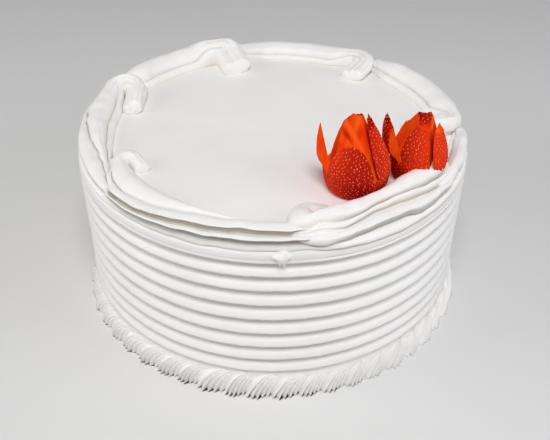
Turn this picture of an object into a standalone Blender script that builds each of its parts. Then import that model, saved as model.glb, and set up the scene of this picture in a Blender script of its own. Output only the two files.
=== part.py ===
"""A round tres leches cake: combed whipped cream, piped borders and two tulip-cut strawberries.

The origin is the middle of the underside, and the front of the cake faces -Y.
"""

import math
import random
from collections import namedtuple

import bmesh
import bpy
from mathutils import Matrix, Vector

MM = 0.001
FULL_TURN = 2.0 * math.pi

# The iced cake: an eight-inch round under about 6 mm of whipped cream
CAKE_HEIGHT = 97.4 * MM
GROOVE_RADIUS = 106.2 * MM
RIDGE_HEIGHT = 2.7 * MM
TOP_EDGE_ROUND = 2.2 * MM
TOP_BAND_RADIUS = 108.2 * MM
TOP_BAND_FOOT = 91.6 * MM
FOOT_RADIUS = 106.9 * MM
CAKE_STEPS = 48

# Comb grooves on the wall
GROOVE_COUNT = 9
TOP_GROOVE_HEIGHT = 86.8 * MM
GROOVE_PITCH = 8.95 * MM
GROOVE_HALF_WIDTH = 1.5 * MM
COMB_WAVE = 0.5 * MM

# Small peak of cream hanging on the front of the wall
DRIP_AZIMUTH = 271.8
DRIP_HEIGHT = 92.0 * MM
DRIP_WIDTH = 7.5 * MM

# Every piece that lies on or against another keeps this gap
GAP = 0.35 * MM
# The clearance of a scroll's head is also slid back along the rim, towards the tail that it cuts
HEAD_SLIDE = math.radians(0.85)

# Piped shell border round the foot
SHELL_COUNT = 52
SHELL_REACH = 6.9 * MM
SHELL_HEIGHT = 14.4 * MM
SHELL_LINES = 6
SHELL_TAIL_SIZE = 0.70
SHELL_HEAD_LENGTH = 0.34
SHELL_RIB_DEPTH = 0.22
SHELL_FAN = 0.55

# Piped scroll border on the rim. Each stroke starts with a short limb on the flat top, turns back
# in an arch and trails counterclockwise along the rim to the next arch.
# Azimuths and leans are in degrees, all other values in millimetres.
Scroll = namedtuple("Scroll", "azimuth rim curl hook_width hook_height limb lean width height end tip")
SCROLLS = (
    Scroll(3, 107.2, 7.6, 12.5, 11.0, 9, 62, 17.5, 9.0, 51.0, 12.0),
    Scroll(57.4, 107.4, 8.2, 15.0, 10.0, 15, 90, 19.0, 6.8, 106.5, 12.0),
    Scroll(115, 107.6, 9.8, 18.5, 14.0, 17, 86, 19.0, 9.8, 156.0, 11.0),
    Scroll(158.2, 108.2, 6.4, 12.3, 12.6, 21, 22, 19.5, 9.6, 219.0, 6.0),
    Scroll(208.7, 95.9, 5.2, 9.6, 7.8, 9, 3, 20.8, 6.8, 280.5, 17.0),
    Scroll(283, 108.4, 9.6, 13.0, 12.5, 9, 1, 22.0, 12.0, 328.0, 14.0),
    Scroll(322, 107.0, 0.0, 8.0, 7.0, 0, 0, 10.5, 8.5, 357.0, 7.0),
)
# Places in the list of the large front scroll, and of the one that starts under its tip
FRONT_SCROLL = 5
HIDDEN_START_SCROLL = 6
SCROLL_REACH = 107.6 * MM
UNEVENNESS = 0.05
CREASE_DEPTH = 0.5
# The outer foot is tucked in under the outer edge
UNDERCUT = 2.0 * MM
EVEN_LIP = 0.3

# Three ropes are uneven along the rim. At an azimuth in degrees: radii of the inner foot, of the
# creases between the strands and of the outer edge; heights of the strands above the flat top; and
# height of the outer edge, which hangs over the cake's edge where it is below nought
Station = namedtuple("Station", "azimuth edges crests lip")
ROPE_STATIONS = {
    3: (Station(158.2, (95.9, 99.9, 107.4, 108.2), (7.0, 10.7, 6.0), 3.4),
        Station(164, (91.5, 96.0, 106.8, 108.0), (5.0, 10.2, 5.6), 3.2),
        Station(172, (88.8, 93.2, 106.2, 107.8), (4.2, 9.6, 5.4), 3.0),
        Station(180, (88.4, 92.8, 104.8, 107.7), (4.0, 9.4, 5.8), 2.8),
        Station(190, (88.6, 92.6, 101.4, 107.7), (3.8, 8.6, 6.4), 2.6),
        Station(199, (90.5, 93.4, 98.4, 107.6), (3.4, 6.8, 6.6), 2.4),
        Station(208, (94.5, 95.8, 98.8, 107.4), (2.6, 4.6, 6.0), 2.0),
        Station(219, (101.5, 102.2, 103.0, 107.2), (2.0, 3.0, 4.0), 1.6)),
    4: (Station(208.7, (86.3, 93.6, 94.8, 95.9), (6.6, 3.6, 2.6), 1.2),
        Station(214, (86.0, 98.4, 101.2, 103.0), (6.8, 5.0, 2.8), 1.2),
        Station(220, (86.8, 100.8, 105.6, 107.4), (6.8, 5.8, 2.7), 1.5),
        Station(230, (86.5, 99.0, 105.3, 107.8), (6.2, 5.6, 3.2), 2.0),
        Station(238, (87.0, 96.2, 102.6, 107.6), (5.6, 5.6, 3.7), 2.3),
        Station(248, (88.5, 92.8, 100.9, 107.2), (4.8, 5.6, 4.1), 2.6),
        Station(262, (89.5, 91.5, 99.9, 107.0), (3.0, 5.7, 4.3), 2.6),
        Station(280.5, (90.0, 92.0, 100.9, 107.0), (2.6, 5.7, 4.3), 2.6)),
    5: (Station(283, (90.5, 99.0, 102.6, 108.4), (10.6, 6.6, 5.0), 0.3),
        Station(289, (88.0, 99.6, 103.4, 109.0), (10.6, 6.4, 5.2), 1.2),
        Station(293, (86.5, 98.6, 101.0, 108.2), (10.8, 6.8, 5.8), 2.0),
        Station(300, (85.5, 96.4, 98.2, 106.9), (11.2, 7.4, 6.4), 2.6),
        Station(307, (85.0, 92.6, 97.3, 107.0), (11.4, 8.2, 6.4), 2.6),
        Station(313, (85.5, 90.6, 97.2, 108.6), (11.8, 8.4, 6.0), -0.8),
        Station(318, (87.5, 93.6, 100.6, 108.8), (12.2, 8.4, 5.6), -1.0),
        Station(323, (90.0, 97.0, 102.8, 107.9), (12.2, 8.6, 5.4), 2.0),
        Station(328, (93.4, 99.2, 103.6, 107.2), (11.0, 8.0, 5.0), 2.2)),
}
# Where a stroke starts: edges of its strands as shares of its width, and their heights as shares of
# its height
Strands = namedtuple("Strands", "edges levels")
HEAD_STRANDS = {
    3: Strands((0.0, 0.35, 0.94, 1.0), (0.60, 1.0, 0.50)),
    4: Strands((0.0, 0.80, 0.90, 1.0), (1.0, 0.60, 0.35)),
    5: Strands((0.0, 0.76, 0.88, 1.0), (1.0, 0.60, 0.35)),
}
EVEN_HEAD_STRANDS = Strands((0.0, 0.38, 1.0), (0.82, 1.0))
EVEN_STRANDS = Strands((0.0, 0.25, 1.0), (0.42, 1.0))
# Shares of the stroke's own height and length
LIMB_END_ROUND = 0.20
LIMB_END_BLUNTNESS = 0.86
LIMB_END_HEIGHT = 0.60
FRONT_LIMB_END_HEIGHT = 0.35
ARCH_FOOT_HEIGHT = 0.85
SWELL_SHARE = 0.20
SETTLE_SHARE = 0.25
TAPER_START = 0.72
TIP_SINK = 0.38
LIMB_STATIONS = 4
ARCH_STATIONS = 8
NECK_STATIONS = 5
TAIL_STATIONS = 11
UNEVEN_TAIL_STATIONS = 17
TIP_STATIONS = 7
STRAND_POINTS = 5

# Strawberries standing on their cut stem ends, tips up. Each slice is cut down from the tip along a
# plane at an azimuth: how far the plane stands from the middle at the foot of the slit and at the
# tip, and how far the slice leans out. A slice with no lean given is cut away.
# Azimuths and leans are in degrees, all other values in millimetres.
Berry = namedtuple("Berry", "x y radius height slices")
Slice = namedtuple("Slice", "azimuth foot tip lean")
LEFT_BERRY = Berry(41.7, -57.0, 16.9, 41.0, (
    Slice(243, 13.6, 11.6, 2.0),
    Slice(243, 12.6, 2.6, None),
    Slice(188, 11.6, 4.4, 17.0),
    Slice(322, 10.8, 4.2, 3.0),
    Slice(12, 11.8, 4.0, 9.0),
    Slice(70, 11.8, 4.0, 7.0),
    Slice(130, 11.8, 4.0, 9.0),
))
RIGHT_BERRY = Berry(75.2, -47.5, 14.8, 37.5, (
    Slice(262, 10.6, 5.6, 2.0),
    Slice(196, 10.4, 3.4, 21.0),
    Slice(338, 9.8, 4.6, 6.0),
    Slice(28, 10.4, 4.2, 9.0),
    Slice(84, 10.2, 3.8, 7.0),
    Slice(142, 10.2, 3.8, 8.0),
))
BERRY_BASE_SHARE = 0.83
BERRY_WIDEST = 0.31
BERRY_POINT = 1.07
CUP_HEIGHT = 12.0 * MM
SLICE_ROOT = 3.5 * MM
PRESS_GAP = 0.5 * MM
BERRY_STEPS = 18
BERRY_LEVELS = 8

CREAM = (0.90, 0.89, 0.86, 1.0)
STRAWBERRY_RED = (0.62, 0.03, 0.02, 1.0)


def clear_scene():
    """Remove whatever the file holds."""
    for thing in list(bpy.data.objects):
        bpy.data.objects.remove(thing, do_unlink=True)


def new_collection(name):
    """Add a collection to the scene."""
    collection = bpy.data.collections.new(name)
    bpy.context.scene.collection.children.link(collection)
    return collection


def plain_material(name, color, roughness):
    """A Principled material with one colour."""
    material = bpy.data.materials.new(name)
    material.use_nodes = True
    shader = material.node_tree.nodes["Principled BSDF"]
    shader.inputs["Base Color"].default_value = color
    shader.inputs["Roughness"].default_value = roughness
    shader.inputs["Metallic"].default_value = 0.0
    return material


def cream_material(name):
    """Soft white whipped cream."""
    return plain_material(name, CREAM, 0.55)


def berry_material(name):
    """Wet red strawberry."""
    return plain_material(name, STRAWBERRY_RED, 0.30)


def polar(radius, azimuth, height=0.0):
    """Point at a radius and an azimuth in radians."""
    return Vector((radius * math.cos(azimuth), radius * math.sin(azimuth), height))


def smooth_step(value):
    """Ease from 0 to 1."""
    value = min(1.0, max(0.0, value))
    return value * value * (3.0 - 2.0 * value)


def add_object(name, mesh, collection, material=None):
    """Put a mesh in the scene under a name."""
    thing = bpy.data.objects.new(name, mesh)
    collection.objects.link(thing)
    if material:
        mesh.materials.clear()
        mesh.materials.append(material)
    mesh.shade_smooth()
    mesh.set_sharp_from_angle(angle=math.radians(50.0))
    return thing


def loft(name, rings, collection, material=None, closed=False):
    """Skin a run of rings that have equally many points; a run that doesn't close gets end caps."""
    shape = bmesh.new()
    rows = [[shape.verts.new(point) for point in ring] for ring in rings]
    count = len(rows[0])
    pairs = list(zip(rows, rows[1:]))
    if closed:
        pairs.append((rows[-1], rows[0]))
    for row, following in pairs:
        for i in range(count):
            j = (i + 1) % count
            shape.faces.new((row[i], row[j], following[j], following[i]))
    if not closed:
        shape.faces.new(rows[0])
        shape.faces.new(rows[-1])
    bmesh.ops.triangulate(shape, faces=shape.faces)
    bmesh.ops.recalc_face_normals(shape, faces=shape.faces)
    mesh = bpy.data.meshes.new(name)
    shape.to_mesh(mesh)
    shape.free()
    return add_object(name, mesh, collection, material)


def turn_profile(name, profile, steps, collection, material=None):
    """Turn an open profile of (radius, height) points round the vertical axis into a closed mesh."""
    mesh = bpy.data.meshes.new(name)
    points = [(radius, 0.0, height) for radius, height in profile]
    mesh.from_pydata(points, [(i, i + 1) for i in range(len(points) - 1)], [])
    guide = bpy.data.objects.new(name, mesh)
    collection.objects.link(guide)
    screw = guide.modifiers.new("Turn", "SCREW")
    screw.axis = "Z"
    screw.steps = steps
    screw.render_steps = steps
    screw.use_merge_vertices = True
    screw.merge_threshold = 0.01 * MM
    turned = as_mesh(guide, name)
    bpy.data.objects.remove(guide, do_unlink=True)
    return add_object(name, turned, collection, material)


def as_mesh(thing, name):
    """Mesh of an object with its modifiers applied."""
    bpy.context.view_layer.update()
    graph = bpy.context.evaluated_depsgraph_get()
    mesh = bpy.data.meshes.new_from_object(thing.evaluated_get(graph))
    mesh.name = name
    return mesh


def combine(thing, tools, operation, solver="EXACT"):
    """Apply one Boolean between an object and a list of others, which are then removed."""
    group = bpy.data.collections.new("boolean_tools")
    bpy.context.scene.collection.children.link(group)
    for tool in tools:
        for owner in list(tool.users_collection):
            owner.objects.unlink(tool)
        group.objects.link(tool)
        tool.hide_render = True
        tool.display_type = "WIRE"
    boolean = thing.modifiers.new("Combine", "BOOLEAN")
    boolean.operation = operation
    boolean.operand_type = "COLLECTION"
    boolean.collection = group
    boolean.solver = solver
    mesh = as_mesh(thing, thing.name)
    thing.modifiers.clear()
    thing.data = mesh
    mesh.shade_smooth()
    mesh.set_sharp_from_angle(angle=math.radians(50.0))
    for tool in tools:
        bpy.data.objects.remove(tool, do_unlink=True)
    bpy.data.collections.remove(group)
    return thing


def comb_profile():
    """Down the combed wall: grooves at the comb's pitch, with a convex ridge between two."""
    points = []
    ridge_radius = GROOVE_RADIUS + RIDGE_HEIGHT
    shoulder_radius = ridge_radius - 0.25 * RIDGE_HEIGHT
    for i in range(GROOVE_COUNT):
        middle = TOP_GROOVE_HEIGHT - i * GROOVE_PITCH
        points.append((shoulder_radius, middle + GROOVE_HALF_WIDTH))
        points.append((GROOVE_RADIUS, middle))
        if i < GROOVE_COUNT - 1:
            points.append((shoulder_radius, middle - GROOVE_HALF_WIDTH))
            points.append((ridge_radius, middle - 0.5 * GROOVE_PITCH))
    return points


def top_profile(grow=0.0):
    """From the middle of the flat top, over the rounded edge, to the smooth band under it."""
    points = [(0.0, CAKE_HEIGHT + grow)]
    edge = TOP_EDGE_ROUND + grow
    for degrees in (90, 50, 15):
        angle = math.radians(degrees)
        radius = TOP_BAND_RADIUS + grow - edge * (1.0 - math.cos(angle))
        points.append((radius, CAKE_HEIGHT + grow - edge * (1.0 - math.sin(angle))))
    points.append((TOP_BAND_RADIUS + grow, TOP_BAND_FOOT))
    return points


def cake_profile():
    """Outline from the middle of the top, down the combed wall to the foot."""
    points = top_profile()
    points.extend(comb_profile())
    points.append((FOOT_RADIUS, 0.0))
    points.append((0.0, 0.0))
    return points


def wave_combing(mesh):
    """Let the comb lines wander up and down a little, least near the top edge and the foot."""
    for vertex in mesh.vertices:
        azimuth = math.atan2(vertex.co.y, vertex.co.x)
        hold = math.sin(math.pi * min(1.0, vertex.co.z / CAKE_HEIGHT))
        sway = math.sin(2.0 * azimuth + 0.6) + 0.6 * math.sin(5.0 * azimuth + 40.0 * vertex.co.z)
        vertex.co.z += COMB_WAVE * hold * sway


def drip_tool(collection):
    """The little peak of cream: a flat blob with two points hanging down."""
    azimuth = math.radians(DRIP_AZIMUTH)
    across = Vector((-math.sin(azimuth), math.cos(azimuth), 0.0))
    outline = ((-0.50, 0.42), (0.0, 0.55), (0.50, 0.45), (0.44, -0.10), (0.24, -0.62),
               (0.06, -0.22), (-0.16, -0.48), (-0.40, -0.12))
    rings = []
    for depth, share in ((-1.6 * MM, 1.0), (0.9 * MM, 1.0), (2.1 * MM, 0.72)):
        centre = polar(TOP_BAND_RADIUS + depth, azimuth, DRIP_HEIGHT)
        ring = []
        for side, up in outline:
            ring.append(centre + DRIP_WIDTH * share * (across * side + Vector((0.0, 0.0, up))))
        rings.append(ring)
    return loft("cream_peak_tool", rings, collection)


def build_cake(collection):
    """The cake under its combed cream, one solid."""
    cake = turn_profile("iced_cake", cake_profile(), CAKE_STEPS, collection, cream_material("wall_cream"))
    wave_combing(cake.data)
    return combine(cake, [drip_tool(collection)], "UNION")


def shell_size(phase):
    """Size of a shell along its length, from its full head to its thin tail."""
    phase = phase % 1.0
    if phase < SHELL_HEAD_LENGTH:
        rise = math.sqrt(1.0 - (1.0 - phase / SHELL_HEAD_LENGTH) ** 2)
        return SHELL_TAIL_SIZE + (1.0 - SHELL_TAIL_SIZE) * rise
    fall = (phase - SHELL_HEAD_LENGTH) / (1.0 - SHELL_HEAD_LENGTH)
    return 1.0 - (1.0 - SHELL_TAIL_SIZE) * fall ** 1.3


def shell_line(start, span, line, size):
    """One line of a shell, a rib or the hollow beside it, fanning from the tail down to the foot."""
    inner = FOOT_RADIUS + GAP
    foot_phase = line / SHELL_LINES
    top_phase = SHELL_FAN + (1.0 - SHELL_FAN) * foot_phase
    hollow = SHELL_RIB_DEPTH * (line % 2)
    top_height = SHELL_HEIGHT * size * shell_size(top_phase)
    ring = [polar(inner, start + span * foot_phase, 0.0)]
    ring.append(polar(inner, start + span * top_phase, top_height * 0.93))
    for degrees in (66, 42, 18, 0):
        rise = (degrees / 90.0) ** 1.4
        phase = foot_phase + (top_phase - foot_phase) * rise
        body = size * shell_size(phase) * (1.0 - hollow * (1.0 - rise))
        angle = math.radians(degrees)
        reach = SHELL_REACH * body * math.cos(angle) ** 0.6
        ring.append(polar(inner + reach, start + span * phase, SHELL_HEIGHT * body * math.sin(angle)))
    return ring


def build_shell_border(collection):
    """One ring of star-tip shells round the foot, each a little different."""
    chance = random.Random(11)
    pitch = FULL_TURN / SHELL_COUNT
    sizes = [1.0 + chance.uniform(-0.08, 0.06) for _ in range(SHELL_COUNT)]
    shifts = [chance.uniform(-0.10, 0.10) * pitch for _ in range(SHELL_COUNT)]
    rings = []
    for i in range(SHELL_COUNT):
        start = i * pitch + shifts[i]
        span = (i + 1) * pitch + shifts[(i + 1) % SHELL_COUNT] - start
        for line in range(SHELL_LINES):
            rings.append(shell_line(start, span, line, sizes[i]))
    return loft("shell_border", rings, collection, cream_material("shell_cream"), closed=True)


Section = namedtuple("Section", "centre heading edges crests lip")


def strand_arch(inner, outer, crest, lows):
    """Arch of one strand from its inner to its outer edge, as pairs of reach and height."""
    middle = 0.5 * (inner + outer)
    half = 0.5 * (outer - inner)
    points = []
    for k in range(STRAND_POINTS):
        angle = math.pi * (1.0 - k / (STRAND_POINTS - 1))
        low = lows[0] if 2 * k < STRAND_POINTS - 1 else lows[1]
        points.append((middle + half * math.cos(angle), low + (crest - low) * math.sin(angle)))
    return points


def rope_ring(section, grow):
    """Outline of a rope's section, upright on the flat top and square to its heading."""
    outward = Vector((math.sin(section.heading), -math.cos(section.heading), 0.0))
    edges = [section.edges[0] - grow] + section.edges[1:-1] + [section.edges[-1] + grow]
    lift = 2.0 * grow
    lows = [0.0]
    for crest, following in zip(section.crests, section.crests[1:]):
        lows.append((1.0 - CREASE_DEPTH) * min(crest, following) + lift)
    lows.append(section.lip)
    profile = []
    for number, crest in enumerate(section.crests):
        arch = strand_arch(edges[number], edges[number + 1], crest + lift, lows[number:number + 2])
        profile.extend(arch if number == 0 else arch[1:])
    profile.append((edges[-1] - UNDERCUT, min(0.0, section.lip)))
    base = CAKE_HEIGHT + GAP - grow
    return [section.centre + outward * reach + Vector((0.0, 0.0, base + rise)) for reach, rise in profile]


def ease_all(first, second, share):
    """Values between those of two lists."""
    return [start + (end - start) * share for start, end in zip(first, second)]


def even_tail(scroll, share):
    """Radii of the edges, heights of the strands and height of the lip along an even tail."""
    hook_width = scroll.hook_width * MM
    swell = smooth_step(share / SWELL_SHARE)
    taper = smooth_step((share - TAPER_START) / (1.0 - TAPER_START))
    width = hook_width + (scroll.width * MM - hook_width) * swell
    width += (scroll.tip * MM - width) * taper
    height = scroll.hook_height * MM * ARCH_FOOT_HEIGHT
    height += (scroll.height * MM - height) * smooth_step(share / SETTLE_SHARE)
    height *= 1.0 - TIP_SINK * taper
    outer = scroll.rim * MM + (SCROLL_REACH - scroll.rim * MM) * swell
    shares = ease_all(EVEN_HEAD_STRANDS.edges, EVEN_STRANDS.edges, swell)
    levels = ease_all(EVEN_HEAD_STRANDS.levels, EVEN_STRANDS.levels, swell)
    edges = [outer - width * (1.0 - share) for share in shares]
    return edges, [height * level for level in levels], EVEN_LIP * height


def uneven_tail(stations, degrees):
    """Radii of the edges, heights of the strands and height of the lip at an azimuth."""
    index = 0
    while index < len(stations) - 2 and degrees > stations[index + 1].azimuth:
        index += 1
    start, end = stations[index], stations[index + 1]
    share = min(1.0, max(0.0, (degrees - start.azimuth) / (end.azimuth - start.azimuth)))
    share = 0.5 * (share + smooth_step(share))
    edges = [MM * radius for radius in ease_all(start.edges, end.edges, share)]
    crests = [MM * height for height in ease_all(start.crests, end.crests, share)]
    return edges, crests, MM * (start.lip + (end.lip - start.lip) * share)


def tail_section(index, share):
    """Section of a stroke's tail at a share of its length."""
    scroll = SCROLLS[index]
    degrees = scroll.azimuth + (scroll.end - scroll.azimuth) * share
    if index in ROPE_STATIONS:
        edges, crests, lip = uneven_tail(ROPE_STATIONS[index], degrees)
    else:
        edges, crests, lip = even_tail(scroll, share)
    middle = 0.5 * (edges[0] + edges[-1])
    azimuth = math.radians(degrees)
    return Section(polar(middle, azimuth), azimuth + 0.5 * math.pi, [edge - middle for edge in edges],
                   crests, lip)


def head_section(index, centre, heading, width, height, first, share):
    """Section of a hook, whose strands ease into those of the tail's first section."""
    strands = HEAD_STRANDS.get(index, EVEN_HEAD_STRANDS)
    tallest = max(first.crests)
    tail_width = first.edges[-1] - first.edges[0]
    tail_edges = [0.5 + edge / tail_width for edge in first.edges]
    tail_levels = [crest / tallest for crest in first.crests]
    full_width = width + (tail_width - width) * share
    full_height = height + (tallest - height) * share
    edges = [(edge - 0.5) * full_width for edge in ease_all(strands.edges, tail_edges, share)]
    crests = [level * full_height for level in ease_all(strands.levels, tail_levels, share)]
    lip = EVEN_LIP * crests[-1]
    return Section(centre, heading, edges, crests, lip + (first.lip - lip) * share)


def hook_sections(index, first):
    """Limb and arch of a stroke, up to the first section of its tail."""
    scroll = SCROLLS[index]
    start = math.radians(scroll.azimuth)
    curl = scroll.curl * MM
    width = scroll.hook_width * MM
    height = scroll.hook_height * MM
    pivot = first.centre - polar(curl, start)
    turn = math.pi - math.radians(scroll.lean)
    first_heading = start + 0.5 * math.pi - turn
    arch_start = pivot + curl * Vector((math.sin(first_heading), -math.cos(first_heading), 0.0))
    ahead = Vector((math.cos(first_heading), math.sin(first_heading), 0.0))
    low = FRONT_LIMB_END_HEIGHT if index == FRONT_SCROLL else LIMB_END_HEIGHT
    sections = []
    for i in range(LIMB_STATIONS):
        share = i / LIMB_STATIONS
        centre = arch_start - ahead * scroll.limb * MM * (1.0 - share)
        full = math.sqrt(1.0 - max(0.0, LIMB_END_BLUNTNESS - share / LIMB_END_ROUND) ** 2)
        rise = full * height * (low + (ARCH_FOOT_HEIGHT - low) * share)
        sections.append(head_section(index, centre, first_heading, width * full, rise, first, 0.0))
    for i in range(ARCH_STATIONS):
        share = i / ARCH_STATIONS
        heading = first_heading + turn * share
        centre = pivot + curl * Vector((math.sin(heading), -math.cos(heading), 0.0))
        rise = height * (ARCH_FOOT_HEIGHT + (1.0 - ARCH_FOOT_HEIGHT) * math.sin(math.pi * share))
        sections.append(head_section(index, centre, heading, width, rise, first, smooth_step(share)))
    return sections


def scroll_rings(index, grow=0.0, head_only=False, tip_only=False):
    """Outlines along one scroll, or along its head or tip grown by the gap that its neighbour keeps."""
    chance = random.Random(100 + index)
    beats = [(chance.uniform(2.0, 5.0), chance.uniform(0.0, FULL_TURN)) for _ in range(3)]
    tail_count = UNEVEN_TAIL_STATIONS if index in ROPE_STATIONS else TAIL_STATIONS
    sections = [tail_section(index, i / tail_count) for i in range(tail_count + 1)]
    head_count = 0
    if SCROLLS[index].curl > 0.0:
        head = hook_sections(index, sections[0])
        head_count = len(head)
        sections = head + sections
    rings = []
    for number, section in enumerate(sections):
        share = number / (len(sections) - 1)
        uneven = sum(math.sin(FULL_TURN * beat * share + offset) for beat, offset in beats) / 3.0
        size = 1.0 + UNEVENNESS * uneven
        crests = [crest * size for crest in section.crests]
        rings.append(rope_ring(section._replace(crests=crests), grow))
    if grow > 0.0:
        rings[0] = [point - polar(grow, sections[0].heading) for point in rings[0]]
        rings[-1] = [point + polar(grow, sections[-1].heading) for point in rings[-1]]
    if head_only:
        rings = rings[:head_count + NECK_STATIONS]
    if tip_only:
        rings = rings[-TIP_STATIONS:]
    return rings


def drop_scraps(thing):
    """Keep only the largest connected body of a mesh."""
    shape = bmesh.new()
    shape.from_mesh(thing.data)
    waiting = set(shape.verts)
    bodies = []
    while waiting:
        reached = {waiting.pop()}
        edge_of_search = list(reached)
        while edge_of_search:
            vertex = edge_of_search.pop()
            for edge in vertex.link_edges:
                other = edge.other_vert(vertex)
                if other not in reached:
                    reached.add(other)
                    edge_of_search.append(other)
        waiting -= reached
        bodies.append(reached)
    largest = max(bodies, key=len)
    scraps = [vertex for vertex in shape.verts if vertex not in largest]
    bmesh.ops.delete(shape, geom=scraps, context="VERTS")
    shape.to_mesh(thing.data)
    shape.free()


def build_scrolls(collection, cutters):
    """The seven scrolls; each tail is cut back to the arch that lies over its end."""
    ropes = []
    for index in range(len(SCROLLS)):
        name = "border_scroll_%d" % (index + 1)
        ropes.append(loft(name, scroll_rings(index), collection, cream_material(name + "_cream")))
    for index, rope in enumerate(ropes):
        over = (index + 1) % len(ropes)
        if over == HIDDEN_START_SCROLL:
            continue
        heads = []
        for slide in (0.0, HEAD_SLIDE):
            head = loft("head_clearance", scroll_rings(over, grow=GAP, head_only=True), cutters)
            head.data.transform(Matrix.Rotation(-slide, 4, "Z"))
            heads.append(head)
        combine(rope, heads, "DIFFERENCE", "MANIFOLD")
    seat = turn_profile("seat_clearance", top_profile(GAP) + [(0.0, TOP_BAND_FOOT)], CAKE_STEPS, cutters)
    combine(ropes[FRONT_SCROLL], [seat], "DIFFERENCE", "MANIFOLD")
    under = ropes[HIDDEN_START_SCROLL]
    tail = loft("tail_clearance", scroll_rings(FRONT_SCROLL, grow=GAP, tip_only=True), cutters)
    combine(under, [tail], "DIFFERENCE", "MANIFOLD")
    for rope in ropes:
        drop_scraps(rope)
    return ropes


def berry_radius(berry, height):
    """Outer radius of an uncut strawberry at a height above its stem end."""
    share = height / (berry.height * MM)
    full = berry.radius * MM
    if share < BERRY_WIDEST:
        drop = (BERRY_WIDEST - share) / BERRY_WIDEST
        return full * (1.0 - (1.0 - BERRY_BASE_SHARE) * drop * drop)
    rise = (share - BERRY_WIDEST) / (BERRY_POINT - BERRY_WIDEST)
    return full * (1.0 - rise ** 1.7) ** 0.8


def berry_blank(berry, collection, grow=0.0):
    """The uncut strawberry with its flat stem end down, as a turned solid, or one grown by a gap."""
    top = berry.height * MM
    profile = [(0.0, top + grow)]
    for i in range(BERRY_LEVELS + 1):
        height = top * (1.0 - i / BERRY_LEVELS)
        profile.append((berry_radius(berry, height) + grow, height + grow * (1.0 - 2.0 * i / BERRY_LEVELS)))
    profile.append((0.0, -grow))
    return turn_profile("berry_blank", profile, BERRY_STEPS, collection)


def berry_place(berry):
    """Where a strawberry stands on the flat top."""
    return Matrix.Translation((berry.x * MM, berry.y * MM, CAKE_HEIGHT + GAP))


def press_berries(ropes, cutters):
    """Hollow the two front scrolls where the strawberries lean on them."""
    for index in (FRONT_SCROLL, HIDDEN_START_SCROLL):
        tools = []
        for berry in (LEFT_BERRY, RIGHT_BERRY):
            tool = berry_blank(berry, cutters, PRESS_GAP)
            tool.data.transform(berry_place(berry))
            tools.append(tool)
        combine(ropes[index], tools, "DIFFERENCE", "MANIFOLD")
        drop_scraps(ropes[index])


def cut_flat(mesh, point, normal):
    """Copy a closed convex mesh without what lies ahead of a plane, and close the cut."""
    shape = bmesh.new()
    shape.from_mesh(mesh)
    everything = shape.verts[:] + shape.edges[:] + shape.faces[:]
    bmesh.ops.bisect_plane(shape, geom=everything, dist=0.01 * MM, plane_co=point, plane_no=normal,
                           clear_outer=True)
    rim = [edge for edge in shape.edges if edge.is_boundary]
    bmesh.ops.holes_fill(shape, edges=rim)
    bmesh.ops.recalc_face_normals(shape, faces=shape.faces)
    kept = bpy.data.meshes.new("berry_cut")
    shape.to_mesh(kept)
    shape.free()
    return kept


def lean_out(mesh, berry, azimuth, lean):
    """Tip a slice outwards about its root."""
    outward = polar(1.0, azimuth)
    hinge = outward * berry_radius(berry, CUP_HEIGHT) + Vector((0.0, 0.0, CUP_HEIGHT - SLICE_ROOT))
    turn = Matrix.Rotation(lean, 4, Vector((0.0, 0.0, 1.0)).cross(outward))
    mesh.transform(Matrix.Translation(hinge) @ turn @ Matrix.Translation(-hinge))


def build_berry(name, berry, collection):
    """One tulip-cut strawberry: cup, core and leaning slices fused to a single solid."""
    blank = berry_blank(berry, collection)
    up = Vector((0.0, 0.0, 1.0))
    cup = cut_flat(blank.data, up * CUP_HEIGHT, up)
    core = cut_flat(blank.data, up * (CUP_HEIGHT - SLICE_ROOT), -up)
    pieces = []
    for cut in berry.slices:
        azimuth = math.radians(cut.azimuth)
        outward = polar(1.0, azimuth)
        foot = outward * cut.foot * MM + up * CUP_HEIGHT
        tip = outward * cut.tip * MM + up * berry.height * MM
        normal = (tip - foot).cross(up.cross(outward))
        if normal.dot(outward) < 0.0:
            normal.negate()
        if cut.lean is not None:
            piece = cut_flat(core, foot, -normal)
            lean_out(piece, berry, azimuth, math.radians(cut.lean))
            pieces.append(add_object("slice_tool", piece, collection))
        core = cut_flat(core, foot, normal)
    pieces.append(add_object("core_tool", core, collection))
    body = add_object(name, cup, collection, berry_material(name + "_red"))
    bpy.data.objects.remove(blank, do_unlink=True)
    combine(body, pieces, "UNION")
    body.data.transform(berry_place(berry))
    return body


def build_model():
    """All the pieces of the cake."""
    clear_scene()
    parts = new_collection("tres_leches_cake")
    cutters = new_collection("cutters")
    build_cake(parts)
    build_shell_border(parts)
    press_berries(build_scrolls(parts, cutters), cutters)
    build_berry("strawberry_left", LEFT_BERRY, parts)
    build_berry("strawberry_right", RIGHT_BERRY, parts)


if __name__ == "__main__":
    build_model()
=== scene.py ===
"""Looks of a round tres leches cake: combed whipped cream, piped borders, tulip-cut strawberries.

It is laid out as an add-on: property groups hold the sizes and colours, each piece or group of
like pieces has its operator, and a panel in the 3D view's sidebar lists them.
"""

import math
import random
from collections import namedtuple

import bpy
import numpy as np
from bpy.props import FloatProperty, FloatVectorProperty, IntProperty, PointerProperty
from mathutils import Matrix, Vector


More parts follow.
